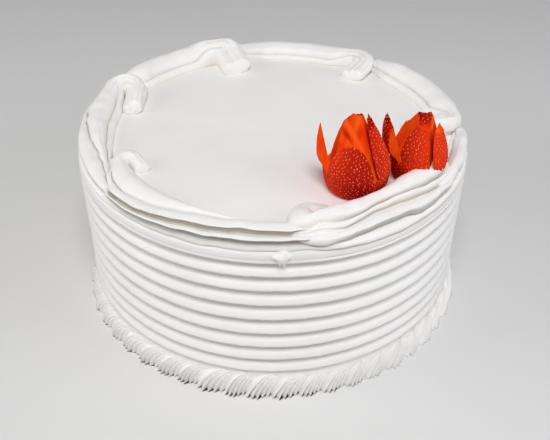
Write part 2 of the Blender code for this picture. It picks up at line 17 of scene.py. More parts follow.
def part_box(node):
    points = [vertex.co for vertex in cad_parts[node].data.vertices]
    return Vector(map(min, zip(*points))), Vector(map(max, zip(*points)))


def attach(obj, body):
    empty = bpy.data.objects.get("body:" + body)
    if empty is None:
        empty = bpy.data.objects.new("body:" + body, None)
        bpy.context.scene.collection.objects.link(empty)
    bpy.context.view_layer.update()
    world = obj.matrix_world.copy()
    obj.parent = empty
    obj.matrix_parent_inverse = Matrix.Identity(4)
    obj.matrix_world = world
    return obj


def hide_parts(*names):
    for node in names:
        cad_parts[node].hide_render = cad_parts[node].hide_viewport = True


bl_info = {
    "name": "Tres leches cake",
    "version": (1, 0, 0),
    "blender": (4, 5, 0),
    "location": "3D View > Sidebar > Cake",
    "description": "Whipped cream, piped borders and cut strawberries for a round cake",
    "category": "Add Mesh",
}

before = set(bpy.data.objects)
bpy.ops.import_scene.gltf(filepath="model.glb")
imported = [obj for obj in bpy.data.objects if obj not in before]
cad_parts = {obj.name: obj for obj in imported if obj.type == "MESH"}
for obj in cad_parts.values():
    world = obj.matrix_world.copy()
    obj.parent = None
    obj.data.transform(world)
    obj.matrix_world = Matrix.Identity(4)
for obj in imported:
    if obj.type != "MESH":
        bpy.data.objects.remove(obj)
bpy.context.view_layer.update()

MM = 0.001
FULL_TURN = 2.0 * math.pi
UP = Vector((0.0, 0.0, 1.0))
CAKE_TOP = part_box("iced_cake")[1].z

# The icing from the middle of the flat top outwards, then over its lip and the band under it down to
# the first comb line: radius and height in millimetres, and how much of a crease's depth is there
IcingRow = namedtuple("IcingRow", "radius height groove crease line")
TOP_LEVEL = 97.42 * MM
TOP_REACH = 103.5 * MM
TOP_ROWS = 26
LIP = (
    (105.2, 97.40, 0.0), (106.4, 97.30, 0.0), (107.3, 97.00, 0.0), (107.9, 96.60, 0.0),
    (108.3, 96.10, 0.0), (108.3, 95.75, 0.45), (108.2, 95.45, 1.0), (108.2, 95.10, 0.55),
    (108.4, 94.60, 0.0),
)
BAND = (
    (108.6, 93.80, 0.0), (108.7, 92.80, 0.0), (108.7, 91.90, 0.0), (108.7, 91.60, 0.3),
    (108.7, 91.30, 1.0), (108.7, 91.00, 0.4), (108.8, 90.60, 0.0), (108.9, 89.90, 0.0),
    (108.9, 89.50, 0.0),
)
LIP_CREASE_TOP = 95.75 * MM
CREASE_DEPTH = 0.9 * MM
CREASE_WANDER = 0.55 * MM
BAND_CREASE_SHARE = 0.6

# Stretches of the edge: azimuths in degrees where each starts and ends, and over how many it eases.
# The lip's crease is deep at the front, a thin skirt of cream hangs under the large front scroll, and
# the lip is cut back under the rope to its left
DEEP_CREASE = (226, 338, 16)
SKIRT = (283, 334, 12)
CUT_BACK = (220, 284, 10)
SKIRT_DROP = 2.0 * MM
SKIRT_LEVELS = (88.0 * MM, 94.8 * MM, 97.2 * MM)
SKIRT_OUT = 0.5 * MM
SKIRT_OUT_FOOT = 95.6 * MM
# Painted shadow of the front scroll on the band under the skirt: the height where it starts, up to the
# lip's crease, and its strength
SKIRT_SHADE_FOOT = 93.0 * MM
SKIRT_SHADE = 0.20
# How deep the lip is cut back under the left rope, and the painted shade in that recess
CUT_BACK_DEPTH = 2.6 * MM
CUT_BACK_SHADE = 0.30

# Heights of the sharp lower edges that the comb left, and of the foot that the last one runs out to
COMB_EDGES = (89.2, 80.9, 72.0, 62.7, 53.2, 43.7, 34.4, 25.3, 16.6, 7.9)
# Down one comb line, from the sharp lower edge of the ridge above: share of the pitch, groove depth
COMB_TOOTH = (
    (0.000, 0.05), (0.010, 0.22), (0.018, 0.60), (0.035, 0.94), (0.100, 1.00), (0.220, 1.00),
    (0.340, 0.98), (0.410, 0.88), (0.460, 0.70), (0.520, 0.50), (0.580, 0.35), (0.660, 0.22),
    (0.750, 0.14), (0.850, 0.06), (0.950, 0.00),
)
# Rows of the icing that aren't on a comb line, and the lowest comb line, which stops in its groove
LIP_LINE = -1
BAND_LINE = -2
LOW_LINE = len(COMB_EDGES) - 2
LOW_LINE_STOP = 0.5
# Share of the depth and of the painted shade that the lowest groove keeps, where cream has been pushed into
# it
LOW_GROOVE = 0.42
# Where the comb was held more lightly: a stretch as above, and the share of the depth that is missing
LIGHT_COMB = (((165, 222, 40), 0.20), ((322, 359, 40), 0.15), ((20, 165, 50), 0.10))
COMB_WAVE = 0.5 * MM
# Painted shade mixed into the deep half of each comb groove, where the ridge above shadows it
GROOVE_SHADE = 0.16
# How ragged and how wavy the comb's edges are, and how much of that is left inside a groove
RAGGED_EDGE = 0.16 * MM
WAVY_EDGE = 0.13 * MM
CALM_GROOVE = 0.35
# Low swirls that the spatula left on the flat top, which fade out in the middle
SWIRL_HEIGHT = 0.10 * MM
SWIRL_FADE = 20.0 * MM
CAKE_STEPS = 520

# The small peak of cream on the front of the edge: azimuth, radius and height of its middle, half its
# width, thickness and height, and its two tips as place across it, width and how far each hangs
PEAK_AZIMUTH = 272.2
PEAK_PLACE = (108.3 * MM, 93.2 * MM)
PEAK_SIZE = (4.2 * MM, 4.6 * MM, 5.6 * MM)
PEAK_TIPS = ((0.42, 0.20, 0.55), (-0.22, 0.18, 0.42))

# Piped shells: columns of points on each, angles of the rows from the foot up to the wall, the radius
# of the inner foot, how far the back goes behind it, how far a shell reaches past its drawn size, where
# its head is widest and how large its tail is, how its ribs fan out and lean along the foot, and how
# ragged its surface is. Shares are of the shell's own length or size
SHELL_COLUMNS = 26
SHELL_LEVELS = np.concatenate((np.linspace(0.0, 82.0, 26), (86.0, 90.0)))
SHELL_INNER = 106.3 * MM
SHELL_BACK = 0.6 * MM
SHELL_OVERREACH = 0.5 * MM
SHELL_HEAD = 0.34
SHELL_TAIL_SIZE = 0.70
SHELL_FAN = 0.55
SHELL_LEAN = 0.42
SHELL_FLUFF = 0.16 * MM
# The hollows between the ribs at a shell's foot and above it, and how far a rib's point stands out,
# as shares of the shell's size
RIB_HOLLOW_FOOT = 0.32
RIB_HOLLOW = 0.10
RIB_POINT = 0.12

# Piped strokes, each a hook of a limb and an arch that runs into a tail along the rim. Azimuths and
# the limb's lean are in degrees, all other values in millimetres. A stroke with no curl has no hook.
Scroll = namedtuple("Scroll", "azimuth rim curl hook_width hook_height limb lean width height end tip")
SCROLLS = (
    Scroll(3, 107.2, 7.6, 12.5, 11.0, 9, 62, 17.5, 9.0, 51.0, 12.0),
    Scroll(57.4, 107.4, 8.2, 15.0, 10.0, 15, 90, 19.0, 6.8, 106.5, 12.0),
    Scroll(115, 107.6, 9.8, 18.5, 14.0, 17, 86, 19.0, 9.8, 156.0, 11.0),
    Scroll(158.2, 108.2, 6.4, 12.3, 12.6, 21, 22, 19.5, 9.6, 219.0, 6.0),
    Scroll(208.7, 95.9, 5.2, 9.6, 7.8, 9, 3, 20.8, 6.8, 280.5, 17.0),
    Scroll(283, 108.4, 7.6, 11.0, 8.0, 10, 1, 22.0, 12.0, 331.0, 14.0),
    Scroll(322, 107.0, 0.0, 8.0, 7.0, 0, 0, 10.5, 8.5, 357.0, 7.0),
)
# Places in the list of the large front scroll and of the rope to its left
FRONT_SCROLL = 5
LEFT_ROPE = 4
SCROLL_REACH = 107.6 * MM
# Height of a rope's outer edge and of the creases between its strands, as shares of the strands' own,
# and how much deeper the creases of the left rope are
EVEN_LIP = 0.3
CREASE_SHARE = 0.5
LEFT_ROPE_DEEPER = 0.25
# Share of the limb over which its end is rounded, and heights of that end and of the arch's foot as
# shares of the hook's
LIMB_END_ROUND = 0.20
LIMB_END_HEIGHT = 0.60
FRONT_LIMB_END_HEIGHT = 0.35
ARCH_FOOT_HEIGHT = 0.85
# Shares of an even tail's length over which it swells and settles, from where it tapers and over
# which its tip is rounded, and the share of its height that it loses at the tip
SWELL_SHARE = 0.20
SETTLE_SHARE = 0.25
TAPER_START = 0.72
TIP_CLOSE = 0.03
TIP_SINK = 0.38
# Rows of points along a stroke, points across a strand, and rows over which stations are softened
LIMB_ROWS = 34
ARCH_ROWS = 48
TAIL_ROWS = 160
STRAND_COLUMNS = 34
STRAND_SHARE = np.linspace(0.0, 1.0, STRAND_COLUMNS)[:, None]
SOFT_ROWS = 19

# Three ropes are uneven along the rim, given here by their place in the list. At an azimuth in
# degrees: radii of the inner foot, of the creases between the strands and of the outer edge; heights
# of the strands above the flat top; and height of the outer edge, which hangs over the cake's edge
# where it is below nought
Station = namedtuple("Station", "azimuth edges crests lip")
ROPE_STATIONS = {
    3: (Station(158.2, (95.9, 99.9, 107.4, 108.2), (7.0, 10.7, 6.0), 3.4),
        Station(164, (91.5, 96.0, 106.8, 108.0), (5.0, 10.2, 5.6), 3.2),
        Station(172, (88.8, 93.2, 106.2, 107.8), (4.2, 9.6, 5.4), 3.0),
        Station(180, (88.4, 92.8, 104.8, 107.7), (4.0, 9.4, 5.8), 2.8),
        Station(190, (88.6, 92.6, 101.4, 107.7), (3.8, 8.6, 6.4), 2.6),
        Station(199, (90.5, 93.4, 98.4, 107.6), (3.4, 6.8, 6.6), 2.4),
        Station(208, (94.5, 95.8, 98.8, 107.4), (2.6, 4.6, 6.0), 2.0),
        Station(219, (101.5, 102.2, 103.0, 107.2), (2.0, 3.0, 4.0), 1.6)),
    4: (Station(208.7, (86.3, 93.6, 94.8, 95.9), (6.6, 3.6, 2.6), 1.2),
        Station(214, (86.0, 98.4, 101.2, 103.0), (6.8, 5.0, 2.8), 1.2),
        Station(220, (86.8, 100.8, 106.0, 107.6), (6.8, 4.6, 2.4), 1.3),
        Station(230, (86.5, 99.0, 106.2, 108.2), (6.2, 4.4, 2.6), 1.4),
        Station(238, (87.0, 96.2, 104.4, 108.0), (5.6, 4.9, 3.2), 1.8),
        Station(248, (88.5, 92.8, 102.4, 107.4), (4.8, 5.4, 3.9), 2.4),
        Station(262, (89.5, 91.5, 101.4, 107.2), (3.0, 5.7, 4.2), 2.5),
        Station(280.5, (90.0, 92.0, 102.4, 107.2), (2.6, 5.6, 4.2), 2.5)),
    5: (Station(283, (90.5, 99.0, 102.6, 108.4), (10.6, 6.6, 5.0), 0.3),
        Station(289, (88.0, 99.6, 103.4, 109.0), (10.6, 6.4, 5.2), 1.2),
        Station(293, (87.5, 98.6, 101.0, 108.2), (9.9, 6.8, 5.8), 2.0),
        Station(300, (87.6, 96.4, 98.2, 106.9), (9.5, 7.4, 6.4), 2.6),
        Station(307, (87.3, 95.8, 98.6, 107.2), (9.9, 8.2, 6.4), 2.6),
        Station(313, (87.0, 98.2, 101.0, 108.6), (11.7, 8.6, 6.2), -0.8),
        Station(318, (88.0, 100.4, 103.0, 108.9), (13.0, 8.6, 6.2), -1.0),
        Station(323, (90.0, 102.4, 104.6, 108.4), (13.6, 8.8, 6.0), 1.0),
        Station(331, (94.4, 103.8, 105.6, 107.6), (12.6, 8.2, 5.2), 2.2)),
}
# Where a stroke starts: edges of its strands as shares of its width, and their heights as shares of
# its height
Strands = namedtuple("Strands", "edges levels")
HEAD_STRANDS = {
    3: Strands((0.0, 0.35, 0.94, 1.0), (0.60, 1.0, 0.50)),
    4: Strands((0.0, 0.80, 0.90, 1.0), (1.0, 0.60, 0.35)),
    5: Strands((0.0, 0.96, 0.98, 1.0), (1.0, 0.30, 0.15)),
}
EVEN_HEAD_STRANDS = Strands((0.0, 0.38, 1.0), (0.82, 1.0))
EVEN_STRANDS = Strands((0.0, 0.25, 1.0), (0.42, 1.0))

# How each strand's arch is built: powers of its rise on the inner side and of its fall on the outer
# one, where less is boxier; lean outwards; how far its outer side is cut under, in millimetres; depth
# in millimetres of the two lines along it; and how much painted shade its outer and inner feet get,
# under overhangs and in creases
Build = namedtuple("Build", "rise fall lean under lines shades")
EVEN_BUILDS = (Build(0.85, 0.85, 0.0, 0.3, 0.0, (0.0, 0.0)),
               Build(0.80, 0.70, 0.04, 0.4, 0.18, (0.1, 0.0)))
BUILDS = {
    3: (Build(0.85, 0.85, 0.0, 0.3, 0.0, (0.0, 0.0)), Build(0.80, 0.70, 0.02, 0.4, 0.22, (0.0, 0.0)),
        Build(0.80, 0.70, 0.05, 0.5, 0.0, (0.2, 0.0))),
    4: (Build(0.90, 0.70, 0.0, 0.2, 0.1, (0.0, 0.0)), Build(0.60, 0.24, 0.04, 3.2, 0.1, (0.55, 0.0)),
        Build(1.30, 0.36, 0.22, 1.2, 0.1, (0.70, 0.32))),
    5: (Build(0.70, 0.45, -0.05, 0.8, 0.10, (0.3, 0.0)), Build(0.85, 0.55, 0.02, 0.6, 0.12, (0.3, 0.2)),
        Build(0.75, 0.36, 0.14, 1.4, 0.18, (0.55, 0.0))),
}
HOOK_FALL = 0.75
# Length over which a hook's own form passes into its tail
HOOK_EASE = 16.0 * MM
# The two lines along a strand, as shares of its width: place and share of their depth. Then how far
# they wander, how wide they are, and the depth of the finer drag marks between them
STRAND_LINES = ((0.36, 1.0), (0.66, 0.8))
LINE_WANDER = 0.05
LINE_WIDTH = 0.055
DRAG_DEPTH = 0.07 * MM
# How far the edges of the strands and of the rope wander sideways and up, and the crests by a share
EDGE_WANDER = 0.35 * MM
LIP_WANDER = 0.30 * MM
CREST_WANDER = 0.05
# How yellow a rope's inner foot, the creases between its strands and its underside are. The yellow is
# partly the cream's own and partly painted shade
FOOT_CREASE = 0.9
STRAND_CREASE = 0.45
UNDER_CREASE = 0.4
# How far the underside of a rope's outer edge is cut back, and then drawn in and down step by step
UNDERCUT = 1.6 * MM
LEFT_ROPE_UNDERCUT = 3.4 * MM
UNDERSIDE_STEPS = ((0.15, 0.10), (0.50, 0.25), (0.85, 0.60), (1.0, 1.0))
FLOOR_STEPS = (0.25, 0.5, 0.75)
# How deep a rope sits in the icing at its outer edge and under its middle
EDGE_SINK = 0.4 * MM
ROPE_SINK = 0.6 * MM
# How much deeper the lines on a hook are, and how much shallower its creases are
HOOK_LINES = 1.6
HOOK_CREASE_SHARE = 0.44
# The front scroll's curl is filled, and its outer strands start late on its arch
FRONT_FILL = 2.4 * MM
LATE_START = 0.55

# Strawberries: azimuths and leans in degrees, the rest in millimetres
Berry = namedtuple("Berry", "x y radius height ripe slices")
# Darkest side and how wide it is, how much darker, and how dark the rest is. On the left strawberry that
# side is its riper front, on the right one it is painted shade on the side towards the left strawberry
Ripe = namedtuple("Ripe", "azimuth spread more least")
# A slice with a top is cut off aslant at that height; one without a lean is taken away
Slice = namedtuple("Slice", "azimuth foot tip lean top")
BERRIES = {
    "strawberry_left": Berry(41.7, -57.0, 16.9, 41.0, Ripe(273, 46, 0.80, 0.22), (
        Slice(24, 14.8, 1.6, None, None),
        Slice(346, 13.0, 1.5, 3.0, None),
        Slice(346, 12.0, 0.5, None, None),
        Slice(250, 12.4, 11.5, 1.2, None),
        Slice(250, 11.6, -0.6, None, None),
        Slice(188, 13.6, 6.8, 22.0, None),
        Slice(176, 13.0, 6.4, None, None),
        Slice(62, 14.2, 9.5, 0.0, None),
        Slice(112, 14.2, 9.5, 0.0, None),
        Slice(82, 13.6, 1.6, None, None),
    )),
    # Its darker side is painted shade, on the side towards the left strawberry
    "strawberry_right": Berry(74.2, -47.0, 14.5, 37.5, Ripe(205, 34, 0.80, 0.22), (
        Slice(338, 10.0, 5.4, 0.0, 30.5),
        Slice(338, 8.2, 3.6, None, None),
        Slice(262, 10.6, 5.6, 1.0, 33.0),
        Slice(196, 11.4, 3.0, 31.0, None),
        Slice(22, 12.6, 9.0, 14.0, 24.0),
        Slice(84, 12.4, 7.9, 2.0, None),
        Slice(142, 12.4, 7.9, 0.0, None),
        Slice(86, 11.8, -0.6, None, None),
    )),
}
# Shape of an uncut strawberry: width of its base, and heights of its widest place and of the point
# that its sides run out to, as shares of its own width and height; and the rounding of its base
BERRY_BASE_SHARE = 0.83
BERRY_WIDEST = 0.31
BERRY_POINT = 1.07
BERRY_BASE_ROUND = 1.2 * MM
# Share of the blank's rings that make its base, and the point of its outline where the skin starts
BASE_RINGS = 0.10
SKIN_START = 4
# The slices are free above the cup, hinge a little lower and bend over this length
CUP_HEIGHT = 12.0 * MM
SLICE_ROOT = 3.5 * MM
BEND_LENGTH = 9.0 * MM
# Widths of a seed's dimple and of the paler ring round it, and how much the skin swells between them
DIMPLE_WIDTH = 0.62 * MM
RING_WIDTH = 0.95 * MM
PILLOW_HEIGHT = 0.16 * MM
# The ragged top: share of the height where it starts, over which it comes in, and its depth
RAGGED_START = 0.84
RAGGED_EASE = 0.10
RAGGED_DEPTH = 1.3 * MM
# A seed's width and thickness as shares of its length, how much it tapers, and how deep it sits as a
# share of its dimple
SEED_WIDTH = 0.62
SEED_TAPER = 0.55
SEED_THICKNESS = 0.45
SEED_SEAT = 0.62
# Ripeness: where the dark shoulder starts, over what share of the height, and how pale a slice is
SHOULDER_START = 0.86
SHOULDER_EASE = 0.08
PALE_SLICE = 0.15
# The core reaches this far down into the cup, and edges sharper than this angle stay sharp
CORE_OVERLAP = 0.4 * MM
SHARP_EDGE = 38.0
# Seeds stay this far from a cut. The threshold is fine enough that every cut closes
CUT_MARGIN = 0.25 * MM
CUT_THRESHOLD = 0.0005 * MM
BERRY_SINK = 0.1 * MM

# Two marks that cross the cut flesh: their slope, where the light and the dark one lie in centimetres,
# and the height of the dark one
MARK_SLOPE = 0.74
LIGHT_MARK = 13.38
DARK_MARK = 13.04
DARK_MARK_LEVEL = 128.0 * MM
# Reds of the seed rings, the deeper flesh and the dark mark, and the brown of some seeds
RING_RED = (0.60, 0.018, 0.009, 1.0)
DEEP_RED = (0.62, 0.022, 0.006, 1.0)
MARK_RED = (0.45, 0.010, 0.004, 1.0)
SEED_BROWN = (0.85, 0.16, 0.05, 1.0)

# How far the camera is turned aside and tilted, in degrees
CAMERA_YAW = 0.23
CAMERA_ROLL = 0.43
CAMERA_SENSOR = 36.0
# Soft lights: azimuth and elevation in degrees, distance and size in metres, and colour. The stage's
# settings hold their powers by the same names. They are aimed at a point of this height
LIGHTS = {
    "front_light": (272, 62, 1.3, 0.45, (1.0, 0.99, 0.975)),
    "left_light": (192, 23, 1.4, 0.8, (1.0, 0.99, 0.97)),
    "right_light": (340, 25, 1.4, 0.8, (0.955, 0.96, 1.0)),
}
LIGHT_AIM = 0.05
ROOM_COLOR = (0.99, 0.985, 1.0, 1.0)

# What every colour setting has in common
COLOR = {"subtype": "COLOR", "size": 4, "min": 0.0, "max": 1.0}


class CreamSettings(bpy.types.PropertyGroup):
    """Sizes of the spread and combed cream."""

    ridge_radius: FloatProperty(name="Ridge radius", description="Radius of the wall over the comb ridges",
                                default=108.95 * MM, unit="LENGTH")
    groove_depth: FloatProperty(name="Groove depth", description="Depth of a comb line under its ridges",
                                default=4.3 * MM, unit="LENGTH")
    foot_radius: FloatProperty(name="Foot radius", description="Radius of the cream at the underside",
                               default=106.9 * MM, unit="LENGTH")


class ShellSettings(bpy.types.PropertyGroup):
    """Sizes of the piped shells round the foot."""

    count: IntProperty(name="Shells", description="Number of shells round the foot", default=52)
    reach: FloatProperty(name="Reach", description="How far a shell stands out from the wall",
                         default=6.9 * MM, unit="LENGTH")
    height: FloatProperty(name="Height", description="Height of a shell", default=14.4 * MM, unit="LENGTH")
    ribs: IntProperty(name="Ribs", description="Ribs that the star tip leaves on a shell", default=5)


class StrawberrySettings(bpy.types.PropertyGroup):
    """Sizes of a strawberry's surface."""

    seed_spacing: FloatProperty(name="Seed spacing", description="Distance between two seeds",
                                default=1.95 * MM, unit="LENGTH")
    seed_length: FloatProperty(name="Seed length", description="Length of a seed", default=0.80 * MM,
                               unit="LENGTH")
    dimple_depth: FloatProperty(name="Dimple depth", description="How deep a seed sits in the skin",
                                default=0.40 * MM, unit="LENGTH")


class FinishSettings(bpy.types.PropertyGroup):
    """Colours of the cream and the strawberries."""

    cream: FloatVectorProperty(name="Cream", description="Whipped cream",
                               default=(0.890, 0.884, 0.874, 1.0), **COLOR)
    # Yellower cream in deep creases and pits: partly the cream's own tint, partly painted shade
    butter_and_shade: FloatVectorProperty(name="Crease cream", description="Cream in deep creases",
                                default=(0.88, 0.78, 0.53, 1.0), **COLOR)
    # Painted shade: the grey-brown that is mixed into the cream in comb grooves, creases, under the ropes'
    # edges and in the front scroll's shadow, where shadow falls
    shade: FloatVectorProperty(name="Recess cream", description="Soaked cream deep under an edge",
                               default=(0.36, 0.31, 0.27, 1.0), **COLOR)
    skin_dark: FloatVectorProperty(name="Ripe skin", description="Darkest strawberry skin",
                                   default=(0.30, 0.0008, 0.0030, 1.0), **COLOR)
    skin_light: FloatVectorProperty(name="Pale skin", description="Lightest strawberry skin",
                                    default=(0.82, 0.040, 0.006, 1.0), **COLOR)
    flesh: FloatVectorProperty(name="Flesh", description="Cut strawberry flesh",
                               default=(0.84, 0.050, 0.003, 1.0), **COLOR)
    flesh_pale: FloatVectorProperty(name="Pale flesh", description="Streaks in the flesh",
                                    default=(0.98, 0.13, 0.011, 1.0), **COLOR)
    seed: FloatVectorProperty(name="Seed", description="Strawberry seed",
                              default=(0.90, 0.34, 0.12, 1.0), **COLOR)


class StageSettings(bpy.types.PropertyGroup):
    """Camera, floor and light."""

    camera_back: FloatProperty(name="Camera distance", description="How far the camera stands in front",
                               default=0.3740, unit="LENGTH")
    camera_height: FloatProperty(name="Camera height", description="How high the camera stands",
                                 default=0.3158, unit="LENGTH")
    camera_pitch: FloatProperty(name="Camera pitch", description="How far the camera looks down",
                                default=math.radians(37.18), subtype="ANGLE")
    focal_length: FloatProperty(name="Focal length", description="Lens of the camera", default=49.6,
                                unit="CAMERA")
    floor: FloatVectorProperty(name="Floor", description="Pale floor", default=(0.72, 0.72, 0.72, 1.0),
                               **COLOR)
    front_light: FloatProperty(name="Front light", description="Power of the high front light in watts",
                               default=8.6)
    left_light: FloatProperty(name="Left light", description="Power of the broad left light in watts",
                              default=5.7)
    right_light: FloatProperty(name="Right light", description="Power of the broad right light in watts",
                               default=5.1)
    room_light: FloatProperty(name="Room light", description="Strength of the light from all round",
                              default=0.245)


class Link:
    """A shader socket that can stand in an expression: each operation adds its Math node."""

    def __init__(self, finish, socket):
        self.finish = finish
        self.socket = socket

    def _math(self, operation, first, second):
        return self.finish.node("ShaderNodeMath", {"operation": operation}, {0: first, 1: second})

    def __add__(self, other):
        return self._math("ADD", self, other)

    __radd__ = __add__

    def __sub__(self, other):
        return self._math("SUBTRACT", self, other)

    def __rsub__(self, other):
        return self._math("SUBTRACT", other, self)

    def __mul__(self, other):
        return self._math("MULTIPLY", self, other)

    __rmul__ = __mul__

    def __abs__(self):
        return self._math("ABSOLUTE", self, 0.0)


class Finish:
    """One material, whose nodes come from node() and from expressions on its links."""

    def __init__(self, name, **uniform):
        self.colors = bpy.context.scene.cake_finish
        self.material = bpy.data.materials.new(name)
        self.material.use_nodes = True
        self.tree = self.material.node_tree
        self.shader = self.tree.nodes["Principled BSDF"]
        for socket, value in uniform.items():
            self.shader.inputs[socket.replace("_", " ")].default_value = value
        self.place = self.node("ShaderNodeTexCoord", output="Object")

    def node(self, kind, settings=None, values=None, output=0):
        """Add a node: its settings first, then the values or links of its sockets."""
        made = self.tree.nodes.new(kind)
        for key, value in (settings or {}).items():
            if key == "stops":
                self.set_stops(made.color_ramp, value)
            else:
                setattr(made, key, value)
        for key, value in (values or {}).items():
            if isinstance(value, Link):
                self.tree.links.new(value.socket, made.inputs[key])
            else:
                made.inputs[key].default_value = value
        return Link(self, made.outputs[output])

    @staticmethod
    def set_stops(ramp, stops):
        """Set a ramp's stops from (position, grey level) pairs."""
        while len(ramp.elements) < len(stops):
            ramp.elements.new(1.0)
        for element, (position, level) in zip(ramp.elements, stops):
            element.position = position
            element.color = (level, level, level, 1.0)

    def noise(self, scale, detail=2.0, stretch=(1.0, 1.0, 1.0)):
        """Noise on the object's own coordinates, stretched along some axes."""
        spread = self.node("ShaderNodeMapping", None, {"Vector": self.place, "Scale": stretch})
        return self.node("ShaderNodeTexNoise", None, {"Vector": spread, "Scale": scale, "Detail": detail})

    def ramp(self, source, *stops):
        """Map a value to grey levels."""
        return self.node("ShaderNodeValToRGB", {"stops": stops}, {"Fac": source})

    def attribute(self, name):
        """A value stored on the mesh's points."""
        return self.node("ShaderNodeAttribute", {"attribute_name": name}, output="Fac")

    def axis(self, name):
        """The object's own X, Y or Z."""
        return self.node("ShaderNodeSeparateXYZ", None, {"Vector": self.place}, name)

    def blend(self, share, first, second):
        """Mix two colours."""
        return self.node("ShaderNodeMix", {"data_type": "RGBA"}, {0: share, 6: first, 7: second}, output=2)

    def bump(self, height, distance):
        """Feed a height to the surface's normal."""
        self.feed("Normal", self.node("ShaderNodeBump", None, {"Height": height, "Distance": distance}))

    def feed(self, socket, link):
        """Link a value to the shader."""
        self.tree.links.new(link.socket, self.shader.inputs[socket])


def scaled(color, share):
    """A colour made darker or paler, as far as white."""
    return tuple(min(1.0, share * channel) for channel in color[:3]) + (1.0,)


def cream_finish(name, lines, line_stretch=(1.0, 1.0, 1.0), butter_and_shade_share=1.0):
    """Whipped cream: soft and matt, yellower in deep creases, which is partly painted shade, darker with
    painted shade in grooves, recesses and shadows, and with fine marks left by its tool.
    """
    finish = Finish(name, Subsurface_Weight=0.10, Subsurface_Radius=(0.0030, 0.0026, 0.0021),
                    Subsurface_Scale=0.25, Specular_IOR_Level=0.3)
    colors = finish.colors
    cloud = finish.noise(28.0, 3.0)
    darker = scaled(colors.cream, 0.965)
    body = finish.blend(finish.ramp(cloud, (0.35, 0.0), (0.65, 1.0)), colors.cream, darker)
    # Yellow crease tint: partly yellower cream, partly painted shade in the creases
    crease = finish.attribute("crease") * finish.ramp(finish.noise(60.0), (0.30, 0.25), (0.70, 1.0))
    body = finish.blend(crease * butter_and_shade_share, body, colors.butter_and_shade)
    # Painted shade: the recess colour is mixed in by the stored shade values
    finish.feed("Base Color", finish.blend(finish.attribute("shade"), body, colors.shade))
    tool_marks = finish.noise(lines, 2.0, line_stretch)
    grain = finish.noise(1100.0, 3.0)
    bubbles = finish.node("ShaderNodeTexVoronoi", None, {"Vector": finish.place, "Scale": 240.0})
    pits = finish.ramp(bubbles, (0.03, 0.0), (0.10, 1.0))
    finish.bump(0.55 * tool_marks + 0.22 * grain + 0.30 * pits, 0.30 * MM)
    finish.feed("Roughness", 0.46 + 0.18 * cloud)
    return finish.material


def skin_finish(name):
    """Strawberry skin: wet red, darker where riper and where painted shade falls on the right strawberry,
    with a paler ring round each seed.
    """
    finish = Finish(name, Subsurface_Weight=0.05, Subsurface_Radius=(0.004, 0.0008, 0.0004),
                    Subsurface_Scale=0.3, Specular_IOR_Level=0.0, Coat_Roughness=0.10)
    colors = finish.colors
    ripe = finish.attribute("ripeness") + 0.35 * (finish.noise(170.0) - 0.5)
    body = finish.blend(finish.ramp(ripe, (0.0, 0.0), (1.0, 1.0)), colors.skin_light, colors.skin_dark)
    finish.feed("Base Color", finish.blend(0.35 * finish.attribute("dimple"), body, RING_RED))
    finish.feed("Roughness", 0.22 + 0.18 * finish.noise(300.0))
    finish.feed("Coat Weight", 0.02 + 0.10 * finish.noise(160.0, 1.0))
    finish.bump(finish.noise(700.0), 0.12 * MM)
    return finish.material


def flesh_finish(name):
    """Cut strawberry flesh: orange-red with paler streaks that run up to the tip, and two cross marks."""
    finish = Finish(name, Subsurface_Weight=0.12, Subsurface_Radius=(0.005, 0.0010, 0.0004),
                    Subsurface_Scale=0.4, Specular_IOR_Level=0.0, Coat_Roughness=0.3)
    colors = finish.colors
    streak = finish.noise(210.0, 3.0, (1.0, 1.0, 0.22))
    body = finish.blend(finish.ramp(streak, (0.35, 0.0), (0.68, 1.0)), colors.flesh, colors.flesh_pale)
    deep = finish.ramp(finish.noise(90.0, 2.0, (1.0, 1.0, 0.5)), (0.52, 0.0), (0.72, 0.75))
    level = finish.axis("Z")
    along = finish.axis("X") + MARK_SLOPE * level
    light = finish.ramp(abs(100.0 * along - LIGHT_MARK), (0.05, 0.85), (0.20, 0.0))
    dark = finish.ramp(abs(100.0 * along - DARK_MARK) + 40.0 * abs(level - DARK_MARK_LEVEL),
                       (0.06, 0.8), (0.24, 0.0))
    body = finish.blend(light, finish.blend(deep, body, DEEP_RED), colors.flesh_pale)
    finish.feed("Base Color", finish.blend(dark, body, MARK_RED))
    finish.feed("Roughness", 0.45 + 0.2 * streak)
    finish.feed("Coat Weight", 0.03 * streak)
    finish.bump(streak, 0.35 * MM)
    return finish.material


def seed_finish(name):
    """Strawberry seed: pale yellow, some browner than others."""
    finish = Finish(name, Specular_IOR_Level=0.5)
    tone = finish.ramp(finish.noise(260.0, 1.0), (0.40, 0.0), (0.62, 1.0))
    finish.feed("Base Color", finish.blend(tone, finish.colors.seed, SEED_BROWN))
    finish.feed("Roughness", 0.30 + 0.15 * tone)
    return finish.material


def floor_finish(name):
    """Plain pale floor, very slightly cloudy."""
    floor = bpy.context.scene.cake_stage.floor
    finish = Finish(name, Specular_IOR_Level=0.3)
    cloud = finish.noise(4.0)
    finish.feed("Base Color", finish.blend(cloud, floor, scaled(floor, 1.03)))
    finish.feed("Roughness", 0.50 + 0.1 * cloud)
    return finish.material


def deselect_all():
    """Leave edit mode and select nothing."""
    if bpy.context.object and bpy.context.object.mode != "OBJECT":
        bpy.ops.object.mode_set(mode="OBJECT")
    bpy.ops.object.select_all(action="DESELECT")


def take_up(piece):
    """Make a piece the only selected one, and the active one."""
    deselect_all()
    piece.select_set(True)
    bpy.context.view_layer.objects.active = piece


